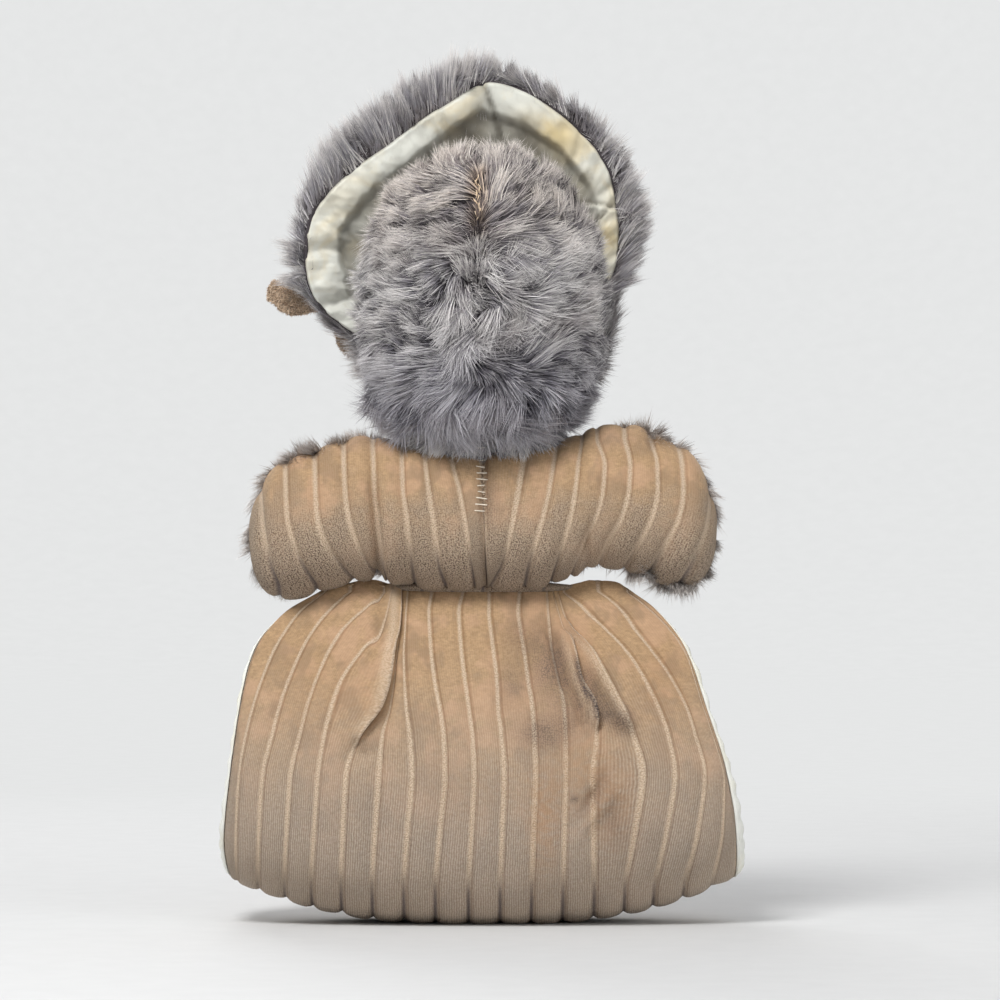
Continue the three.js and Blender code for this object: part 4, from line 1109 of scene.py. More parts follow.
# %% The node tree that grows the pile
def pile_tree():
    numbers = {"Density": 1e6, "Length": 0.011, "Width": 0.0004, "Lean": 1.0, "Stray": 0.3, "Tousle": 1.0,
               "Swirl": 2.2, "Lock": 0.5, "Lock scale": 170.0}
    inputs = [("Backing", "Geometry", None), ("Blade", "Object", None)]
    inputs += [(label, "Float", value) for label, value in numbers.items()] + [("Seed", "Int", 1)]
    tree, given, gives = group_tree("grow_pile", inputs, [("Pile", "Geometry")], "GeometryNodeTree")
    tree.is_modifier = True

    def named(name, kind="FLOAT"):
        return node(tree, "GeometryNodeInputNamedAttribute", {"Name": name},
                    data_type=kind).outputs["Attribute"]

    def vec(operation, a, b=(0.0, 0.0, 0.0), scale=None):
        feeds = {0: a, 1: b} if scale is None else {0: a, "Scale": scale}
        return node(tree, "ShaderNodeVectorMath", feeds, operation=operation).outputs[0]

    def random_vector(seed):
        feeds = {0: (-1, -1, -1), 1: (1, 1, 1), "Seed": seed}
        return node(tree, "FunctionNodeRandomValue", feeds, data_type="FLOAT_VECTOR").outputs[0]

    def random_float(low, high, seed):
        return node(tree, "FunctionNodeRandomValue", {2: low, 3: high, "Seed": seed},
                    data_type="FLOAT").outputs[1]

    def store(geometry, name, value, kind):
        return node(tree, "GeometryNodeStoreNamedAttribute",
                    {"Geometry": geometry, "Name": name, "Value": value},
                    data_type=kind, domain="POINT").outputs[0]

    density = times(tree, given["Density"], named("grow"))
    scatter = node(tree, "GeometryNodeDistributePointsOnFaces",
                   {"Mesh": given["Backing"], "Density": density, "Seed": given["Seed"]},
                   distribute_method="RANDOM")
    up = scatter.outputs["Normal"]
    comb = named("comb", "FLOAT_VECTOR")
    stray = vec("SCALE", random_vector(3), scale=given["Stray"])
    swirl_noise = node(tree, "ShaderNodeTexNoise", {"Scale": 75.0, "Detail": 2.0}).outputs["Color"]
    swirl = vec("SCALE", vec("SUBTRACT", swirl_noise, (0.5, 0.5, 0.5)), scale=given["Swirl"])
    way = vec("ADD", vec("ADD", up, vec("SCALE", comb, scale=given["Lean"])), vec("ADD", stray, swirl))
    cells = node(tree, "ShaderNodeTexVoronoi", {"Scale": given["Lock scale"]}, feature="F1")
    lock = axes_of(tree, cells.outputs["Color"])["X"]
    tousle = vec("SCALE", vec("SUBTRACT", cells.outputs["Color"], (0.5, 0.5, 0.5)), scale=given["Tousle"])
    way = vec("NORMALIZE", vec("ADD", way, tousle))
    length = times(tree, times(tree, given["Length"], named("reach")), random_float(0.75, 1.1, 5))
    length = times(tree, length, mult_add(tree, lock, 0.35, 0.8))
    shade = mult_add(tree, lock, 0.5, times(tree, random_float(0.0, 1.0, 7), 0.5))
    here = node(tree, "GeometryNodeInputPosition").outputs[0]
    to_lock = vec("SCALE", vec("SUBTRACT", cells.outputs["Position"], here), scale=given["Lock"])
    droop = vec("SCALE", vec("SUBTRACT", vec("SCALE", comb, scale=0.5), vec("SCALE", up, scale=0.3)),
                scale=length)
    curl = vec("SCALE", vec("SCALE", random_vector(13), scale=0.16), scale=length)
    bend = vec("ADD", vec("ADD", to_lock, droop), curl)
    stored = store(scatter.outputs["Points"], "bend", bend, "FLOAT_VECTOR")
    stored = store(stored, "shade", shade, "FLOAT")
    turn = node(tree, "FunctionNodeAlignRotationToVector", {"Vector": way}, axis="Z").outputs[0]
    broad = vec("ADD", up, vec("SCALE", random_vector(9), scale=0.6))
    turn = node(tree, "FunctionNodeAlignRotationToVector", {"Rotation": turn, "Vector": broad},
                axis="Y", pivot_axis="Z").outputs[0]
    size = node(tree, "ShaderNodeCombineXYZ", {0: given["Width"], 1: given["Width"], 2: length}).outputs[0]
    blade = node(tree, "GeometryNodeObjectInfo", {"Object": given["Blade"]}).outputs["Geometry"]
    stood = node(tree, "GeometryNodeInstanceOnPoints",
                 {"Points": stored, "Instance": blade, "Rotation": turn, "Scale": size}).outputs[0]
    real = node(tree, "GeometryNodeRealizeInstances", {"Geometry": stood}).outputs[0]
    share = named("t")
    offset = vec("SCALE", named("bend", "FLOAT_VECTOR"), scale=times(tree, share, share))
    bent = node(tree, "GeometryNodeSetPosition", {"Geometry": real, "Offset": offset}).outputs[0]
    for name in ("bend", "comb", "grow", "reach"):
        bent = node(tree, "GeometryNodeRemoveAttribute", {"Geometry": bent, "Name": name}).outputs[0]
    tree.links.new(bent, gives["Pile"])
    return tree


PILE = pile_tree()


def grow_pile(backing, name, blade, **values):
    """The pile of a backing cloth, as its own piece. backing carries comb, grow and reach at each vertex."""
    piece = bpy.data.objects.new(name, backing.data.copy())
    scene.collection.objects.link(piece)
    growth = piece.modifiers.new("growth", "NODES")
    growth.node_group = PILE
    sockets = {item.name: item.identifier for item in PILE.interface.items_tree if item.in_out == "INPUT"}
    growth[sockets["Blade"]] = blade
    for label, value in values.items():
        growth[sockets[label.replace("_", " ").capitalize()]] = value
    apply_modifiers(piece)
    print(name, len(piece.data.polygons), "faces")
    return piece


def comb_pile(backing, rule):
    """Stores how the pile lies at each vertex: rule(place in mm, normal) gives comb, grow and reach."""
    mesh = backing.data
    for name in ("comb", "grow", "reach"):
        if name in mesh.attributes:
            mesh.attributes.remove(mesh.attributes[name])
        mesh.attributes.new(name, "FLOAT_VECTOR" if name == "comb" else "FLOAT", "POINT")
    comb, grow, reach = (mesh.attributes[name] for name in ("comb", "grow", "reach"))
    for vert in mesh.vertices:
        way, share, length = rule(vert.co / MM, vert.normal)
        way = way - vert.normal * way.dot(vert.normal)
        comb.data[vert.index].vector = way
        grow.data[vert.index].value = max(0.0, share)
        reach.data[vert.index].value = length


# %% [markdown]
# ## The plush's colour
# A strand is dark at the root, a painted shade for the depth of the pile, and pale at the tip, and single
# strands differ. Broad patches are browner or bluer. The backing cloth under it is a dark knit that shows
# only where locks part.


# %% Pile and backing materials
def pile_material(name, root, middle, tip, warm, seam=None):
    """seam is the head's parting, (x, lowest z, highest z) in metres, where the pile has turned golden. With
    it the pile is also painted darker and bluer towards the nape, a painted shade with a little painted blue
    reflection, and a little warmer at the crown.
    """
    material, tree, shader = new_material(name, 0.5, sheen=0.1, specular=0.3)
    t = marked(tree, "t")
    shade = marked(tree, "shade")
    place = object_place(tree)
    # Painted shade: dark roots, for the shade deep in the pile.
    surface = mix_colours(tree, ramp(tree, t, 0.1, 0.6), root, middle)
    surface = mix_colours(tree, ramp(tree, t, 0.5, 1.0), surface, tip)
    patch = speckle(tree, place, 26.0, 3.0, 0.6)
    surface = mix_colours(tree, ramp(tree, patch, 0.45, 0.72, 0.0, 0.4), surface, warm)
    surface = mix_colours(tree, ramp(tree, shade, 0.14, 0.48, 0.95, 0.0), surface, root)
    surface = mix_colours(tree, ramp(tree, shade, 0.56, 0.84, 0.0, 0.9), surface, tip)
    if seam:
        x, low, high = seam
        split = axes_of(tree, place)
        near = ramp(tree, calc(tree, "ABSOLUTE", calc(tree, "SUBTRACT", split["X"], x)), 0.001, 0.0075, 1.0,
                    0.0)
        near = times(tree, near, ramp(tree, split["Z"], low - 0.006, low + 0.004))
        near = times(tree, near, ramp(tree, split["Z"], high - 0.002, high + 0.006, 1.0, 0.0))
        surface = mix_colours(tree, times(tree, near, 0.7), surface, colour(240, 216, 190), "MULTIPLY")
        # Painted shade towards the nape, darker and a little bluer, with a little painted blue reflection.
        surface = mix_colours(tree, ramp(tree, split["Z"], 0.222, 0.27, 0.9, 0.0), surface,
                              colour(206, 207, 217), "MULTIPLY")
        surface = mix_colours(tree, ramp(tree, split["Z"], 0.28, 0.32, 0.0, 0.7), surface,
                              colour(255, 247, 238), "MULTIPLY")
    tree.links.new(surface, shader.inputs["Base Color"])
    return material


def backing_material():
    material, tree, shader = new_material("plush_backing", 0.95, specular=0.1)
    place = object_place(tree)
    grain = speckle(tree, place, 900.0, 2.0)
    tree.links.new(mix_colours(tree, grain, colour(52, 48, 52), colour(92, 86, 88)),
                   shader.inputs["Base Color"])
    add_relief(tree, shader, grain, 0.6, 0.0005)
    return material


GREYS = (colour(56, 52, 57), colour(140, 136, 142), colour(236, 232, 229), colour(156, 140, 131))
plush_pile = pile_material("plush_pile", *GREYS)
head_hair = pile_material("head_hair", *GREYS, seam=(0.002, 0.302, 0.329))
brim_hair = pile_material("brim_hair", colour(130, 125, 128), colour(173, 170, 177), *GREYS[2:])
# Painted light: the front's plush is a lighter, warmer copy of the grey plush, for the light that reaches it
# where it peeks out under and past the velour.
front_hair = pile_material("front_hair", colour(126, 117, 113), colour(178, 168, 160), *GREYS[2:])
plush_backing = backing_material()
tan_pile = pile_material("bow_pile", *(colour(*tone) for tone in (
    (174, 150, 126), (200, 174, 147), (225, 201, 175), (184, 162, 139))))
blade, head_blade, brim_blade, front_blade, tan_blade = blades = [
    make_blade(name, hair) for name, hair in (("pile_blade", plush_pile), ("head_blade", head_hair),
                                              ("brim_blade", brim_hair), ("front_blade", front_hair),
                                              ("tan_blade", tan_pile))]
print("pile ready")

# %% [markdown]
# ## The plush front of torso and arms
# The front is the bolster's other half. Its backing lies a little under the CAD's plush, and the pile hangs
# down. Along the top of the left arm and under the right one the pile stands out past the velour's edge.

# %% The front's backing and pile
FRONT_DEPTH = 4.5
FRONT_COLUMNS, FRONT_ROWS = 44, 36
front_rows = [math.radians(mix(84, 276, i / FRONT_ROWS)) for i in range(FRONT_ROWS + 1)]


def front_comb(place, normal):
    """The front's pile hangs down. It stands out where it peeks past the velour in three places."""
    peeking = (bump(place.x, 78, 26) * smooth_step(185, 205, place.z) + bump(place.x, -76, 15)
               * smooth_step(195, 212, place.z)
               + bump(place.x, -78, 22) * smooth_step(172, 152, place.z) + 0.5
               * smooth_step(88, 98, abs(place.x)))
    peeking = min(1.0, peeking) * smooth_step(-14, -3, place.y)
    outward = Vector((normal.x, 0, normal.z))
    way = Vector((0.15 * math.copysign(1, place.x), -0.25,
                  -1)) * (1 - peeking) + (outward + Vector((0, 0.4, 0))) * peeking * 1.6
    back_edge = smooth_step(-4, 0, place.y)
    grow = mix(1.0, mix(0.15, 1.0, peeking), back_edge)
    return way, grow * mix(1.0, 1.9, peeking), mix(0.75, 1.4, peeking)


for side, name in ((1, "left"), (-1, "right")):
    columns = [side * (TIP - 1) * i / FRONT_COLUMNS for i in range(FRONT_COLUMNS + 1)]
    bm = cloth_grid(columns, front_rows,
                    lambda a, t: bolster_point(a if a else 1e-6 * side, t, -FRONT_DEPTH))
    front = finished(bm, f"plush_front_{name}", plush_backing, bolster_core)
    comb_pile(front, front_comb)
    pile = grow_pile(front, f"front_pile_{name}", front_blade, Density=4.6e6, Length=0.0115, Width=0.00042,
                     Lean=1.1,
                     Swirl=1.6, Tousle=1.5, Lock=0.6, Lock_scale=200.0, Stray=0.25, Seed=11 + side)
    add_wall(front, BACKING_WALL)
    for piece in (front, pile):
        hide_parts("torso_front_plush", f"{name}_arm_front_plush")
        bend_at_shoulder(piece, side)

# %% [markdown]
# ## The head
# The head is a tall stuffed oval in two halves of plush. Its pile is combed sideways from the seam at the
# back, up at the crown and down at the nape. The backing starts as a sphere and takes the CAD's widths.

# %% The head's backing
TORSO_TOP_Z = WAIST_Z + 61
HEAD_BASE_Z = TORSO_TOP_Z + 3
HEAD_HEIGHT, HEAD_HALF_WIDTH, HEAD_BACK, HEAD_FRONT = 130, 55, 45, 38
HEAD_SHAPE = [[0, 0], [0.025, 0.5], [0.07, 0.77], [0.15, 0.9], [0.28, 0.97], [0.42, 1], [0.58, 0.98],
              [0.72, 0.9],
              [0.84, 0.745], [0.93, 0.53], [0.98, 0.29], [1, 0]]
HEAD_PILE_DEPTH = 5.5
FACE_Z, FACE_HALF_WIDTH, FACE_HALF_HEIGHT, FACE_RIM_Y = HEAD_BASE_Z + 54, 41, 46, -23
FACE_SLACK = 0.5  # how far the plush stays off the mask's edge


def head_point(turn, share, depth):
    width = along(HEAD_SHAPE, share) * (1 - depth / HEAD_HALF_WIDTH)
    back = HEAD_BACK if math.sin(turn) > 0 else HEAD_FRONT
    height = HEAD_HEIGHT / 2
    return Vector((HEAD_HALF_WIDTH * width * math.cos(turn), back * width * math.sin(turn),
                   HEAD_BASE_Z + height + (share - 0.5) * 2 * (height - depth)))


def off_the_face(face):
    """Whether a face of the backing lies outside the mask's oval."""
    middle = face.calc_center_median() / MM
    return middle.y >= 0 or (middle.x / (FACE_HALF_WIDTH + FACE_SLACK)) ** 2 + (
        (middle.z - FACE_Z) / (FACE_HALF_HEIGHT + FACE_SLACK)) ** 2 >= 1


head_middle = Vector((0, 0, HEAD_BASE_Z + HEAD_HEIGHT / 2)) * MM
head_skin = ball("head_plush", plush_backing, 96, 72,
                 lambda co: head_point(math.atan2(co.y, co.x), (1 + co.z) / 2, HEAD_PILE_DEPTH),
                 off_the_face, lambda face: head_middle)
print("head backing", len(head_skin.data.polygons), "faces")


# %% How the head's pile is combed, and the pile of its two halves
SEAM_X = 2.0


def head_comb(place, normal):
    """The pile lies away from the seam: level and a little down on the doll's left, and up on its right. It
    rises at the crown, hangs at the nape, and is tousled along the middle."""
    stray_seam = 16 * noise.noise(Vector((3, 8, place.z * 0.055))) * smooth_step(302, 285, place.z)
    off = place.x - SEAM_X - stray_seam
    away = math.tanh(off / mix(1.0, 13.0, smooth_step(303, 272, place.z)))
    crown, nape = smooth_step(300, 338, place.z), smooth_step(252, 216, place.z)
    left_share = (1 + away) / 2
    rise = mix(mix(mix(0.6, -0.15, left_share), 1.3, crown), -1.1, nape)
    rise -= 1.1 * bump(off, 0, 13) * smooth_step(290, 264, place.z) * (1 - nape)
    corner = bump(abs(place.x), 42, 15) * smooth_step(248, 228, place.z)
    sideways = away * (1 - 0.55 * crown - 0.45 * nape - 0.3 * corner)
    rise -= 0.45 * corner
    tousled = 0.5 + 0.55 * bump(place.x, -3, 27) * smooth_step(310, 288, place.z)
    turn = 2.3 * tousled * (noise.noise(place * 0.05)
                            + 0.55 * noise.noise(place * 0.14 + Vector((40, 0, 0))))
    c, s = math.cos(turn), math.sin(turn)
    beside_brim = smooth_step(6, -5, place.y) * smooth_step(222, 232, place.z)
    way = Vector((sideways * c - rise * s, mix(-0.2 * smooth_step(20, 0, place.y), 1.6, beside_brim),
                  rise * c + sideways * s))
    parting = bump(place.x, SEAM_X, 1.7) * smooth_step(300, 306, place.z) * smooth_step(331, 324, place.z)
    behind_brim = max(smooth_step(-1, 7, place.y),
                      0.75 * smooth_step(-19, -15, place.y)) * smooth_step(215, 222, place.z)
    below = smooth_step(-30, -20, place.y) * smooth_step(228, 218, place.z)
    reach = (1 - 0.4 * parting) * (1 + 0.4 * nape) + (0.25 if place.x > 0 else -0.35) * corner
    return way, (1 - 0.9 * parting) * max(behind_brim, below), reach * (1 - 0.62 * beside_brim)


def half_of_head(side):
    def rule(place, normal):
        way, grow, reach = head_comb(place, normal)
        return way, grow * (1.0 if (place.x - SEAM_X) * side > 0 else 0.0), reach
    return rule


head_piles = []
for side, name in ((1, "left"), (-1, "right")):
    comb_pile(head_skin, half_of_head(side))
    head_piles.append(grow_pile(head_skin, f"head_pile_{name}", head_blade, Density=5.9e6, Length=0.0126,
                                Width=0.00042,
                                Lean=1.6, Swirl=1.4, Tousle=1.8, Lock=0.7, Lock_scale=195.0, Stray=0.26,
                                Seed=21 + side))
add_wall(head_skin, BACKING_WALL)
for piece in [head_skin, *head_piles]:
    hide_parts("head_plush_left", "head_plush_right")
    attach(piece, "head")

# %% [markdown]
# ## The neck
# The neck is a short stuffed joint between head and torso. The nape's pile hides it, and what still shows
# between the strands is plush as well, so it is a ball of backing with a short pile of its own.

# %% The neck's plush
NECK_RADIUS, NECK_Z = 14, HEAD_BASE_Z + 5
NECK_MIDDLE = Vector((0, 0, NECK_Z - 3))


def neck_point(co):
    return Vector((co.x * 2.3, co.y * 1.15, co.z * 0.62)) * NECK_RADIUS + NECK_MIDDLE


neck = ball("neck_plush", plush_backing, 40, 24, neck_point)
comb_pile(neck, lambda place, normal: (Vector((place.x * 0.02, 0, -0.8)),
                                       smooth_step(8, 4, abs(place.z - NECK_MIDDLE.z)), 1.0))
neck_pile = grow_pile(neck, "neck_pile", blade, Density=4.0e6, Length=0.008, Width=0.00045, Lean=0.6,
                      Stray=0.25, Seed=41)
for piece in (neck, neck_pile):
    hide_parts("neck_stuffing")
    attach(piece, "neck")

# %% [markdown]
# ## The bonnet's brim
# The brim is a stiffened band round the face: plush in front, which rolls over the edge, and a satin lining
# behind, which is eased into a padded roll along its outer edge with a valley between roll and head. Both
# keep the CAD's outlines, given as a radius at each angle round the face.

# %% The brim's outlines and its sweep
BRIM_START, BRIM_END, BRIM_TOP = -48, 228, 111
BRIM_EDGE = [[-48, 53], [-12, 57], [5, 76], [21, 89], [39, 98], [62, 102], [89, 111], [111, 104], [130, 93],
             [146, 83],
             [161, 70.5], [175, 57], [228, 53]]
LINING_EDGE = [[-48, 49], [-12, 52.5], [9, 76], [19, 82.5], [33, 88], [58, 87], [79, 95], [92, 104],
               [111, 96],
               [128, 87], [140, 76.5], [154, 66], [170, 54], [228, 49]]


LINING_EASE = 1.014  # the satin's edge stands this much past its CAD line, as it bulges there


def brim_angle(x, z):
    """The angle round the face of a direction, counted on from the brim's start."""
    degrees = math.degrees(math.atan2(z, x))
    return degrees + 360 if degrees < BRIM_START else degrees


def brim_root(degrees):
    turn = math.radians(degrees)
    return 1 / math.hypot(math.cos(turn) / (FACE_HALF_WIDTH + 1.5),
                          math.sin(turn) / (FACE_HALF_HEIGHT + 1.5))


def brim_point(degrees, radius, offset):
    """offset counts towards the back from the brim's middle sheet."""
    turn, root = math.radians(degrees), brim_root(degrees)
    share = max(0.0, (radius - root) / (BRIM_TOP - root))
    return Vector((radius * math.cos(turn), -27 + 17 * share**0.8 + offset,
                   FACE_Z + radius * math.sin(turn)))


# %% The brim's plush: front, edge and the strip behind
BRIM_STEPS = 150
brim_rows = [mix(BRIM_START, BRIM_END, i / BRIM_STEPS) for i in range(BRIM_STEPS + 1)]
brim_columns = [0, 0.12, 0.24, 0.36, 0.48, 0.58, 0.66, 0.72, 0.78, 0.84, 0.9, 0.95, 1]


def brim_plush_point(share, degrees):
    root, lining_edge = brim_root(degrees), along(LINING_EDGE, degrees)
    edge = max(along(BRIM_EDGE, degrees) - 3.5 - 1.0, lining_edge + 1.5)
    way = [[0, root, -4.2], [0.58, edge - 3, -4.2], [0.72, edge, -2.6], [0.8, edge, 0.6],
           [0.9, edge - 1.6, 2.2], [1, lining_edge - 0.5, 0.6]]
    return brim_point(degrees, along(way, share), along(way, share, 2))


bm = cloth_grid(brim_columns, brim_rows, brim_plush_point)
brim_skin = finished(bm, "brim_plush_backing", plush_backing,
                     lambda face: face.calc_center_median() * 0.98 + Vector((0, -0.019, FACE_Z * MM)) * 0.02)


def brim_comb(place, normal):
    """The brim's pile points outward. Behind the edge it leans back a little and stays off the satin."""
    out = Vector((place.x, 0, place.z - FACE_Z)).normalized()
    twist = Vector((out.z, 0, -out.x)) * (1.8 * noise.noise(place * 0.04) - 0.55 * out.x)
    behind = smooth_step(0.0, 0.6, normal.y)
    satin_edge = along(LINING_EDGE, brim_angle(out.x, out.z)) * LINING_EASE
    past_satin = math.hypot(place.x, place.z - FACE_Z) - satin_edge
    on_satin = smooth_step(0.2, -0.4, past_satin - 0.8) * smooth_step(-0.2, 0.2, normal.y)
    return out * mix(1.4, 2.2, behind) + twist + Vector((0, 0.3, 0)), 1 - on_satin, mix(1.0, 0.9, behind)


comb_pile(brim_skin, brim_comb)
brim_pile = grow_pile(brim_skin, "brim_pile", brim_blade, Density=5.05e6, Length=0.0094, Width=0.00042,
                      Lean=1.2, Swirl=2.3,
                      Tousle=1.8, Lock=0.6, Lock_scale=200.0, Stray=0.38, Seed=31)
add_wall(brim_skin, BACKING_WALL)
for piece in (brim_skin, brim_pile):
    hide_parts("brim_plush")
    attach(piece, "head")


# %% The brim's satin lining: a soft turned-back band, its creases and the valley inside it
brim_lining_columns = [i / 20 * 0.5 for i in range(20)] + [0.5 + i / 28 * 0.5 for i in range(29)]
SATIN_STEPS = 440  # the satin's creases are narrow, so its rows are fine
brim_lining_rows = [mix(BRIM_START, BRIM_END, i / SATIN_STEPS) for i in range(SATIN_STEPS + 1)]
BAND = [[-48, 7], [-12, 12], [0, 19], [18, 19], [30, 15.5], [45, 13], [70, 12.5], [89, 11.5], [93, 15],
        [112, 13.5],
        [128, 12.5], [141, 11], [150, 9], [165, 7], [228, 6]]
CREASES = [(78.2, -1.3, 1.0, 0.08), (76.6, 0.8, 1.2, 0.08), (70.5, -1.1, 1.3, 0.1), (62, 0.5, 4.0, 0.0),
           (126, -0.9, 1.6, 0.15), (134, -1.2, 1.3, -0.2), (130, 0.7, 2.2, 0.1), (146, 0.8, 3.0, 0.0),
           (153, -1.0, 1.6, 0.2),
           (48, -0.8, 2.2, 0.2), (38, -1.4, 1.7, -0.25), (29, 0.9, 2.5, 0.0), (21, -2.0, 2.0, 0.35),
           (12, 1.3, 2.6, 0.0),
           (5, -1.9, 1.9, 0.25), (-3, 1.1, 2.0, 0.0), (108, 0.7, 3.5, 0.1), (117, -1.1, 1.8, 0.2),
           (138, -1.1, 0.9, 0.1),
           (123, 0.6, 1.0, 0.1), (129, -0.8, 0.8, 0.2), (136, 0.7, 0.9, 0.1)]
STEPS = [(90.0, 0.25, 2.8, 8.0, 2.0), (140.5, -0.55, 2.2, 7.0, 1.4)]
ROOT_ROLL = 6.0  # how far the satin's inner edge turns back to meet the head


def brim_lining_point(share, degrees):
    root, edge = brim_root(degrees), along(LINING_EDGE, degrees) * LINING_EASE
    radius = mix(root, edge, share)
    from_edge, band = edge - radius, min(along(BAND, degrees), (edge - root) * 0.7)
    wander = noise.noise(Vector((degrees * 0.11, 5, 0))) + 0.6 * noise.noise(Vector((degrees * 0.3, 9, 0)))
    band *= 1 + 0.13 * wander
    full = min(1.0, (edge - root) / 20)
    crown = 2.3 + 1.5 * smooth_step(0.1, 0.75, from_edge / band) + 0.5 * wander
    offset = 0.7 + (full * crown * smooth_step(-0.4, 1.7, from_edge)
                    * smooth_step(band + 2.2, band - 1.6, from_edge))
    inner = smooth_step(0.05, 0.45, share)
    for at, height, width, inward in CREASES:
        offset += height * bump(degrees, at + inward * from_edge, width) * inner
    for at, inward, height, fade, dip in STEPS:
        past = degrees - (at + inward * from_edge)
        if past > 0:
            offset += height * smooth_step(0, 0.6, past) * math.exp(-past / fade) * inner
        else:
            offset -= dip * math.exp(past / 1.8) * inner
    fold = noise.noise(Vector((degrees * 0.09, radius * 0.09, 3)))
    fold += 0.5 * noise.noise(Vector((degrees * 0.33, radius * 0.13, 8)))
    fold += 0.3 * noise.noise(Vector((degrees * 0.7 + radius * 0.2, radius * 0.22, 4)))
    offset += 1.8 * fold * inner + ROOT_ROLL * smooth_step(0.16, 0.0, share)
    offset = max(0.3, offset) if share < 1 else 0.2
    return brim_point(degrees, radius, offset)


# Painted shade on the satin: darker in the valley inside the band, along its outer edge and in the creases
# and steps. Two greyer patches by the top notch, on the valley's floor, are soil as well as shade.
def brim_lining_shade_and_soil(p):
    degrees = brim_angle(p.x, p.z - FACE_Z)
    from_edge = along(LINING_EDGE, degrees) * LINING_EASE - math.hypot(p.x, p.z - FACE_Z)
    band = along(BAND, degrees)
    valley = 0.5 * smooth_step(band - 1.5, band + 2.5, from_edge)
    valley += (0.4 * bump(degrees, 86, 9) * smooth_step(3, 9, from_edge)
               + 0.3 * bump(degrees, 104, 7) * smooth_step(8, 12, from_edge))
    rim = 0.3 * smooth_step(1.6, 0.3, from_edge)
    creases = sum(0.16 * bump(degrees, at + inward * from_edge, 0.9) for at, height, _,
                  inward in CREASES if height < 0)
    creases += sum(0.45 * bump(degrees, at + inward * from_edge - 0.5, 0.8) for at, inward, _, _, _ in STEPS)
    return min(0.85, valley + rim + creases)


SATIN_STAINS = [(-32, 346, 11, 8, 0.95), (-20, 353, 10, 6, 0.4), (-56, 300, 6, 11, 0.8),
                (-58, 318, 5, 8, 0.4),
                (62, 320, 12, 8, 0.35), (14, 352, 8, 6, 0.3), (-45, 326, 8, 8, 0.3)]
bm = cloth_grid(brim_lining_columns, brim_lining_rows, brim_lining_point, lambda s, d: (s * 4, d * 0.1),
                {"soil": brim_lining_shade_and_soil, "rust": lambda p: spots_at(p, SATIN_STAINS)})
brim_lining = finished(bm, "brim_satin_lining", brim_satin,
                       lambda face: face.calc_center_median() - Vector((0, 0.01, 0)), SATIN_WALL)
print("brim lining", len(brim_lining.data.polygons), "faces")
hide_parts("brim_lining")
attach(brim_lining, "head")

# %% [markdown]
# ## The face
# The photograph shows the doll from behind only, so this face is a plain one of the maker's own: a soft dome
# with rounded cheeks, nose, lips and chin, in matt rubber with painted eyes, brows and lips.


# %% The mask's form
# Each feature's x, z, half width and half height in shares of the face, and its height in millimetres. One
# with an x stands on both sides. In order: nose and its ridge, cheeks, chin, brow, eye sockets, eyeballs,
# nostrils, upper and lower lip, the line between them, and the hollow under the nose.
FEATURES = [(0, -0.1, 0.15, 0.15, 4.6), (0, 0.12, 0.11, 0.22, 1.8), (0.42, -0.24, 0.26, 0.24, 3.2),
            (0, -0.74, 0.22, 0.16, 4), (0, 0.62, 0.6, 0.3, 2.2), (0.37, 0.14, 0.2, 0.15, -2.6),
            (0.37, 0.13, 0.13, 0.075, 1.9), (0.09, -0.155, 0.06, 0.06, 1.0), (0, -0.4, 0.2, 0.05, 2.2),
            (0, -0.51, 0.15, 0.06, 2.2), (0, -0.455, 0.2, 0.022, -1.1), (0, -0.3, 0.04, 0.06, -0.7)]


def face_relief(across, up):
    """How far the mask stands out at a place, in shares of its half width and half height."""
    features = 0.0
    for x, z, wide, tall, height in FEATURES:
        for middle in (x, -x) if x else (x,):
            features += height * bump(across, middle, wide) * bump(up, z, tall)
    out = min(1.0, across**2 + up**2)
    return 21 * math.sqrt(1 - 0.97 * out**1.3) + (1 - out**3) * features


FACE_STEPS = 60  # from the face's middle to its edge
face_steps = [i / FACE_STEPS - 1 for i in range(2 * FACE_STEPS + 1)]


def face_point(a, b):
    """A square grid drawn into the face's oval."""
    x = a * math.sqrt(1 - b * b / 2)
    z = b * math.sqrt(1 - a * a / 2)
    return Vector((x * FACE_HALF_WIDTH, FACE_RIM_Y - face_relief(x, z), FACE_Z + z * FACE_HALF_HEIGHT))


# %% Painted marks: a soft oval about a place of the face, bent into an arc if asked
def painted_group():
    inputs = [("Place", "Vector", None), ("X", "Float", 0.0), ("Z", "Float", 0.0),
              ("Half width", "Float", 1.0),
              ("Half height", "Float", 1.0), ("Arc", "Float", 0.0), ("Soft", "Float", 0.12)]
    tree, given, gives = group_tree("painted_mark", inputs, [("Mask", "Float")])
    split = axes_of(tree, given["Place"])
    across = calc(tree, "DIVIDE", calc(tree, "SUBTRACT", times(tree, split["X"], 1000.0), given["X"]),
                  given["Half width"])
    up = calc(tree, "SUBTRACT", times(tree, split["Z"], 1000.0), given["Z"])
    up = calc(tree, "ADD", up, times(tree, times(tree, across, across), given["Arc"]))
    up = calc(tree, "DIVIDE", up, given["Half height"])
    far = calc(tree, "SQRT", calc(tree, "ADD", times(tree, across, across), times(tree, up, up)))
    tree.links.new(ramp(tree, far, calc(tree, "SUBTRACT", 1.0, given["Soft"]),
                        calc(tree, "ADD", 1.0, given["Soft"]),
                        1.0, 0.0), gives["Mask"])
    return tree


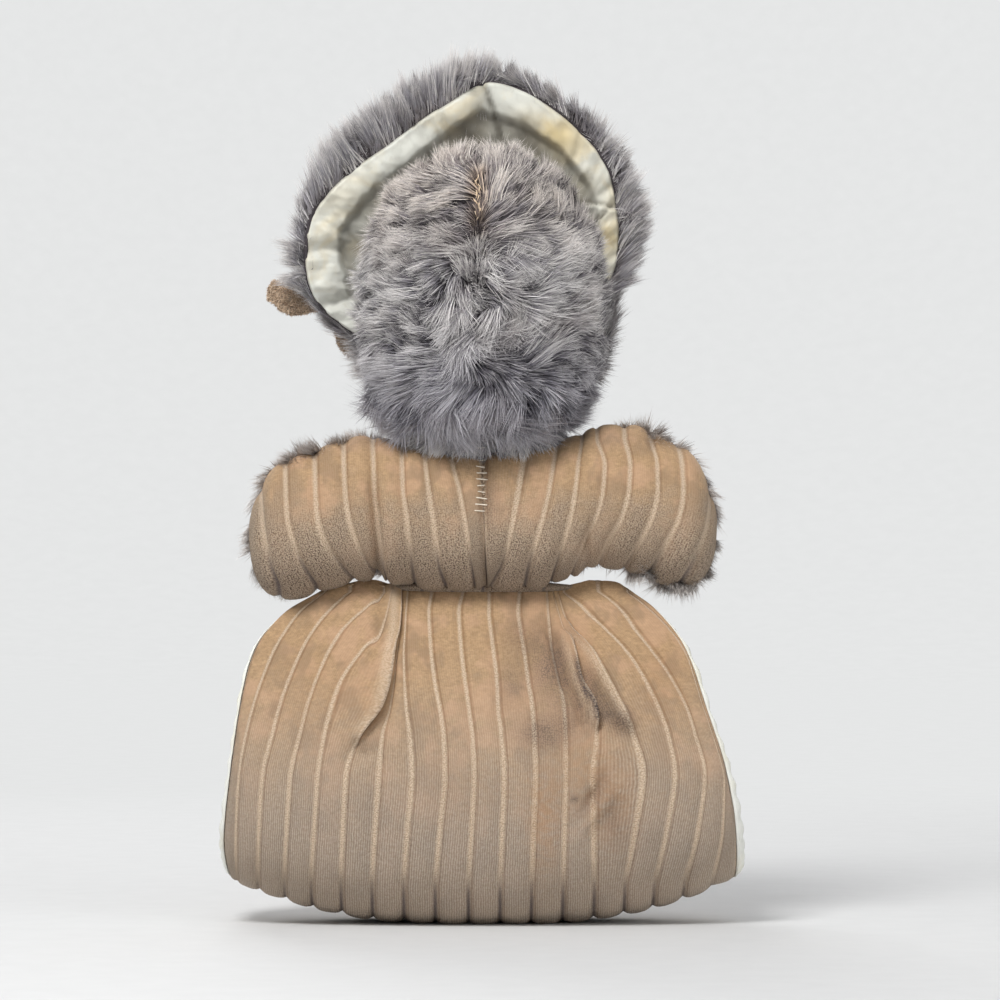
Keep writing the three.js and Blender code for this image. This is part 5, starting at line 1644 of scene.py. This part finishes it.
# Each mark's tone, strength, x, z above the face's middle, half width, half height, arc and softness
PAIRED_MARKS = [((226, 132, 120), 0.5, 18, -11, 10, 9, 0.0, 0.9),
                ((112, 72, 48), 0.85, 15.2, 15.5, 7.5, 0.9, 2.4, 0.5),
                ((92, 60, 44), 0.9, 15.2, 9.2, 6.6, 0.65, 2.9, 0.4),
                ((244, 242, 238), 1.0, 15.2, 6.2, 5.6, 3.2),
                ((74, 110, 150), 1.0, 15.2, 6.3, 2.7, 2.9), ((24, 22, 26), 1.0, 15.2, 6.3, 1.3, 1.4),
                ((196, 120, 104), 0.6, 3.0, -8.2, 1.3, 0.8, 0.0, 0.5)]
LIP_MARKS = [((196, 78, 74), 0.9, 0, -18.6, 7.2, 1.5, 0.9, 0.3),
             ((204, 88, 82), 0.9, 0, -23.3, 5.4, 1.9, -0.8, 0.3),
             ((120, 44, 44), 0.8, 0, -20.9, 6.6, 0.4, 0.0, 0.5)]


def face_material():
    material, tree, shader = new_material("face_rubber", 0.5, specular=0.35)
    painted = painted_group()
    place = object_place(tree)
    marks = use_group(tree, AGE, {"Place": place, "Scale": 26.0}).outputs
    surface = mix_colours(tree, marks["Blotch"], colour(238, 200, 174), colour(232, 190, 160))
    surface = mix_colours(tree, times(tree, marks["Dust"], 0.15), surface, colour(190, 150, 124))

    def paint(surface, tone, strength, x, z, wide, tall, arc=0.0, soft=0.12):
        mask = use_group(tree, painted, {"Place": place, "X": x, "Z": FACE_Z + z, "Half width": wide,
                                         "Half height": tall,
                                    "Arc": arc, "Soft": soft}).outputs["Mask"]
        return mix_colours(tree, times(tree, mask, strength), surface, tone)

    for side in (1, -1):
        for tone, strength, x, *rest in PAIRED_MARKS:
            surface = paint(surface, colour(*tone), strength, side * x, *rest)
        # A painted highlight: a white dot in each eye.
        surface = paint(surface, colour(255, 255, 255), 1.0, side * 15.2 + 0.9, 7.4, 0.55, 0.6)
    for tone, *rest in LIP_MARKS:
        surface = paint(surface, colour(*tone), *rest)
    tree.links.new(surface, shader.inputs["Base Color"])
    grain = speckle(tree, place, 700.0, 3.0)
    tree.links.new(ramp(tree, grain, 0.2, 0.8, 0.42, 0.62), shader.inputs["Roughness"])
    add_relief(tree, shader, grain, 0.15, 0.0003)
    return material


bm = cloth_grid(face_steps, face_steps, face_point)
face = finished(bm, "moulded_face", face_material(), lambda f: Vector((0, 0, FACE_Z)) * MM, thickness=2.0)
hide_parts("face_mask")
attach(face, "head")
print("face", len(face.data.polygons), "faces")

# %% [markdown]
# ## The bow
# A velour bow is sewn to the brim's lower end on the doll's left. From behind only the tip of its outer loop
# shows, as a soft tan tab. A loop is a strip of ribbon turned back on itself and pinched at the knot.

# %% The bow's place, its two loops and its knot
BOW_ANGLE, BOW_RADIUS, LOOP_LENGTH, LOOP_WIDTH, LOOP_HEIGHT, KNOT_SIZE, LOOP_SKEW = 7, 66, 24, 17, 9, 9, 0.12
LOOP_STEPS, BOW_GAP, PLUSH_DEPTH = 40, 0.36, 5.5
BRIM_FRONT = -1.4 - 2 * BOW_GAP - PLUSH_DEPTH
bow_velour = velour("bow_velour", 0.4, 0.5, -0.2, -0.4, colour(120, 98, 78), line_width=0.001)
knot_middle = brim_point(BOW_ANGLE, BOW_RADIUS, BRIM_FRONT - KNOT_SIZE / 2 - BOW_GAP)


def loop_point(t, z, lift=0.0):
    """A place on the loop: t runs round it from knot to knot, and z across the ribbon from -1 to 1."""
    turn = mix(-math.pi, math.pi, mix(0.03, 0.97, t))
    reach = (1 + math.cos(turn)) / 2
    rounded = math.sqrt(1 - 0.8 * smooth_step(0.3, 1.0, reach) ** 2.5)
    half = LOOP_WIDTH / 2 * mix(0.4, 1, smooth_step(0, 0.6, reach)) * rounded
    crown = 0.9 * (1 - z * z)
    return Vector((KNOT_SIZE / 2 + BOW_GAP + LOOP_LENGTH * reach + crown * reach - LOOP_SKEW * half * z
                   * reach,
                   (LOOP_HEIGHT / 2) * math.sin(turn) * max(0.0, reach) ** 0.35 + math.sin(turn / 2) * 1.6
                   * (1 + 0.3 * crown),
                   half * z))


def bow_loop(name, degrees, radius, lift):
    outward = (brim_point(degrees, radius, BRIM_FRONT - lift) - knot_middle).normalized()
    broad = Vector((0, -1, 0)).cross(outward).normalized()
    axes = Matrix((outward, broad.cross(outward), broad)).transposed()
    bm = cloth_grid([i / LOOP_STEPS for i in range(LOOP_STEPS + 1)], [i / 8 - 1 for i in range(17)],
                    lambda t, z: knot_middle + axes @ loop_point(t, z), lambda t, z: (z * 0.6 + 0.5, t * 4))
    loop = finished(bm, name, bow_velour)
    add_wall(loop, 2.0, offset=0)
    return loop


loops = [bow_loop("bow_ribbon_outer", 8.5, 100, 7), bow_loop("bow_ribbon_inner", -32, 52, 15)]
for loop, cad_name in zip(loops, ("bow_loop_outer", "bow_loop_inner")):
    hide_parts(cad_name)


def knot_point(co):
    creased = 1 - 0.12 * math.cos(co.x * 9) * (1 - abs(co.z))
    return knot_middle + Vector((co.x * creased, co.y * creased, co.z * 1.05)) * KNOT_SIZE / 2


knot = ball("bow_ribbon_knot", bow_velour, 40, 24, knot_point)
knot.data.uv_layers.new(name="Cloth")
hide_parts("bow_knot")
# The bow's velour has kept its pile, so it is grown, short and straight, on all three pieces
bow_fuzz = []
for piece, cad_name in zip([*loops, knot], ("bow_loop_outer", "bow_loop_inner", "bow_knot")):
    comb_pile(piece, lambda place, normal: (Vector((0.3, 0, -0.4)), 1.0, 1.0))
    fuzz = grow_pile(piece, piece.name.replace("ribbon", "pile"), tan_blade, Density=5.5e6, Length=0.0019,
                     Width=0.00036,
                     Lean=0.7, Swirl=1.2, Tousle=0.8, Stray=0.5, Lock=0.2, Lock_scale=600.0, Seed=51)
    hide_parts(cad_name)
    bow_fuzz.append(fuzz)
for used in blades:
    bpy.data.objects.remove(used)
for piece in [*loops, knot, *bow_fuzz]:
    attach(piece, "head")

# %% [markdown]
# ## Hand stitches
# White thread closes the seam down the middle of the back with short ladder stitches, and a gold thread
# shows in the head's seam where the pile parts. Each stitch is a thin tube that bows out of the cloth.


# %% Thread from a curve with a round section
def thread(name, strokes, radius, material):
    curve = bpy.data.curves.new(name, "CURVE")
    curve.dimensions = "3D"
    curve.bevel_depth, curve.bevel_resolution, curve.use_fill_caps = radius * MM, 1, True
    for stroke in strokes:
        spline = curve.splines.new("POLY")
        spline.points.add(len(stroke) - 1)
        for point, place in zip(spline.points, stroke):
            point.co = (*(place * MM), 1)
    drawn = bpy.data.objects.new(name, curve)
    scene.collection.objects.link(drawn)
    mesh = bpy.data.meshes.new_from_object(drawn.evaluated_get(bpy.context.evaluated_depsgraph_get()))
    bpy.data.objects.remove(drawn)
    piece = bpy.data.objects.new(name, mesh)
    scene.collection.objects.link(piece)
    mesh.materials.clear()
    mesh.materials.append(material)
    return piece


def thread_material(name, pale, dark):
    material, tree, shader = new_material(name, 0.7, specular=0.2)
    place = object_place(tree)
    twist = node(tree, "ShaderNodeTexWave", {"Vector": place, "Scale": 900.0, "Distortion": 2.0},
                 bands_direction="DIAGONAL").outputs["Fac"]
    tree.links.new(mix_colours(tree, ramp(tree, twist, 0.1, 0.9, 0.0, 0.6), pale, dark),
                   shader.inputs["Base Color"])
    return material


surface_trees = {side: BVHTree.FromObject(piece, bpy.context.evaluated_depsgraph_get())
                 for side, piece in velour_backs.items()}


def back_surface(x, z):
    """The velour's outer surface straight behind a place of the photograph."""
    hits = [tree.ray_cast(Vector((x * MM, 0.1, z * MM)), Vector((0, -1, 0)))[0]
            for tree in surface_trees.values()]
    return max([hit.y / MM for hit in hits if hit], default=18.0)


LADDER_TOP, LADDER_STEPS, LADDER_PITCH = 208, 11, 2.75
GOLD_TOP, GOLD_STEPS, GOLD_PITCH = 325, 15, 1.25
random.seed(5)
ladder = []
for step in range(LADDER_STEPS):
    z = LADDER_TOP - step * LADDER_PITCH
    left, right = 3.0 + random.uniform(-1.0, 0.8), -1.4 + random.uniform(-0.8, 0.9)
    slant = random.uniform(-0.7, 0.5)
    stroke = []
    for i in range(7):
        share = i / 6
        x = mix(left, right, share)
        height = z + slant * (share - 0.5)
        rise = 0.9 * math.sin(math.pi * share) - 0.35
        stroke.append(Vector((x, max(back_surface(x, height), back_surface(left, height) - 1.2) + rise,
                              height)))
    ladder.append(stroke)
white = thread_material("white_thread", colour(246, 238, 222), colour(208, 192, 170))
white_thread = thread("seam_thread", ladder, 0.28, white)
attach(white_thread, "torso")

gold_strokes = []
for step in range(GOLD_STEPS):
    z = GOLD_TOP - step * GOLD_PITCH + random.uniform(-0.4, 0.4)
    y = head_point(math.radians(90), (z - HEAD_BASE_Z) / HEAD_HEIGHT, HEAD_PILE_DEPTH).y
    middle, slant = SEAM_X + random.uniform(-1.1, 1.1), random.uniform(-1.0, 1.0)
    gold_strokes.append([Vector((middle + slant * (i / 2 - 1), y + 0.8 + 1.5 * math.sin(math.pi * i / 4),
                                 z + 1.1 - 0.55 * i))
                         for i in range(5)])
gold = thread_material("gold_thread", colour(242, 220, 190), colour(216, 182, 146))
gold_thread = thread("head_seam_thread", gold_strokes, 0.22, gold)
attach(gold_thread, "head")

# %% [markdown]
# ## Stuffing and stiffener
# Inside, the doll is stuffed with loose cotton. Each body of it is made from the CAD's own form: felted into
# one skin by a voxel remesh, drawn in a little so that the velour's creases clear it, and dented in lumps.
# The brim's stiffener keeps its CAD form, a shaped sheet, and gets the open weave of stiffened cotton.


# %% Cotton wadding and buckram
def wadding_material():
    material, tree, shader = new_material("cotton_wadding", 0.95, sheen=0.2, specular=0.1)
    place = object_place(tree)
    clump = speckle(tree, place, 60.0, 4.0, 0.6)
    fibre = speckle(tree, place, 700.0, 4.0, 0.7, (1.0, 1.0, 0.3))
    tone = mix_colours(tree, clump, colour(222, 214, 196), colour(244, 240, 230))
    tone = mix_colours(tree, ramp(tree, fibre, 0.5, 0.8, 0.0, 0.5), tone, colour(200, 188, 166))
    tree.links.new(tone, shader.inputs["Base Color"])
    add_relief(tree, shader, calc(tree, "ADD", clump, fibre), 0.8, 0.002)
    return material


def buckram_material():
    material, tree, shader = new_material("buckram", 0.85, specular=0.2)
    place = object_place(tree)
    split = axes_of(tree, place)
    weave = times(tree, calc(tree, "SINE", times(tree, split["X"], 5200.0)),
                 calc(tree, "SINE", times(tree, split["Z"], 5200.0)))
    tone = mix_colours(tree, ramp(tree, weave, -0.6, 0.6), colour(196, 184, 154), colour(222, 212, 186))
    tree.links.new(tone, shader.inputs["Base Color"])
    add_relief(tree, shader, weave, 0.5, 0.0004)
    return material


wadding, buckram = wadding_material(), buckram_material()


# %% Each body of stuffing
SHOULDER_PINCH, PINCH_X, PINCH_WIDTH = 0.36, 45, 19


def stuff(node_name, body, draw_in, voxel, pinch=0.0):
    """pinch narrows the wadding at the shoulders, so that a swung arm doesn't push it through the velour."""
    piece = bpy.data.objects.new(node_name.replace("stuffing", "wadding").replace("padding", "wadding"),
                                 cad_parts[node_name].data.copy())
    scene.collection.objects.link(piece)
    felt = piece.modifiers.new("felt", "REMESH")
    felt.mode, felt.voxel_size = "VOXEL", voxel * MM
    apply_modifiers(piece)
    for vert, normal in [(vert, vert.normal.copy()) for vert in piece.data.vertices]:
        lump = 0.5 + noise.noise(vert.co / MM * 0.09)
        vert.co -= normal * (draw_in * (0.75 + 0.5 * lump)) * MM
        squeeze = 1 - pinch * bump(abs(vert.co.x) / MM, PINCH_X, PINCH_WIDTH)
        vert.co.y, vert.co.z = vert.co.y * squeeze, mix(SHOULDER_Z, vert.co.z, squeeze)
    for face in piece.data.polygons:
        face.use_smooth = True
    piece.data.materials.clear()
    piece.data.materials.append(wadding)
    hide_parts(node_name)
    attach(piece, body)
    print(piece.name, len(piece.data.polygons), "faces")


for body in ("torso", "left_arm", "right_arm"):
    stuff(f"{body}_stuffing", body, 2.6, 2.5, SHOULDER_PINCH)
stuff("head_stuffing", "head", 1.0, 3.0)
stuff("muff_padding", "muff", 1.4, 2.5)
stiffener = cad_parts["brim_stiffener"]
for cad_slot in stiffener.material_slots:
    cad_slot.material = buckram
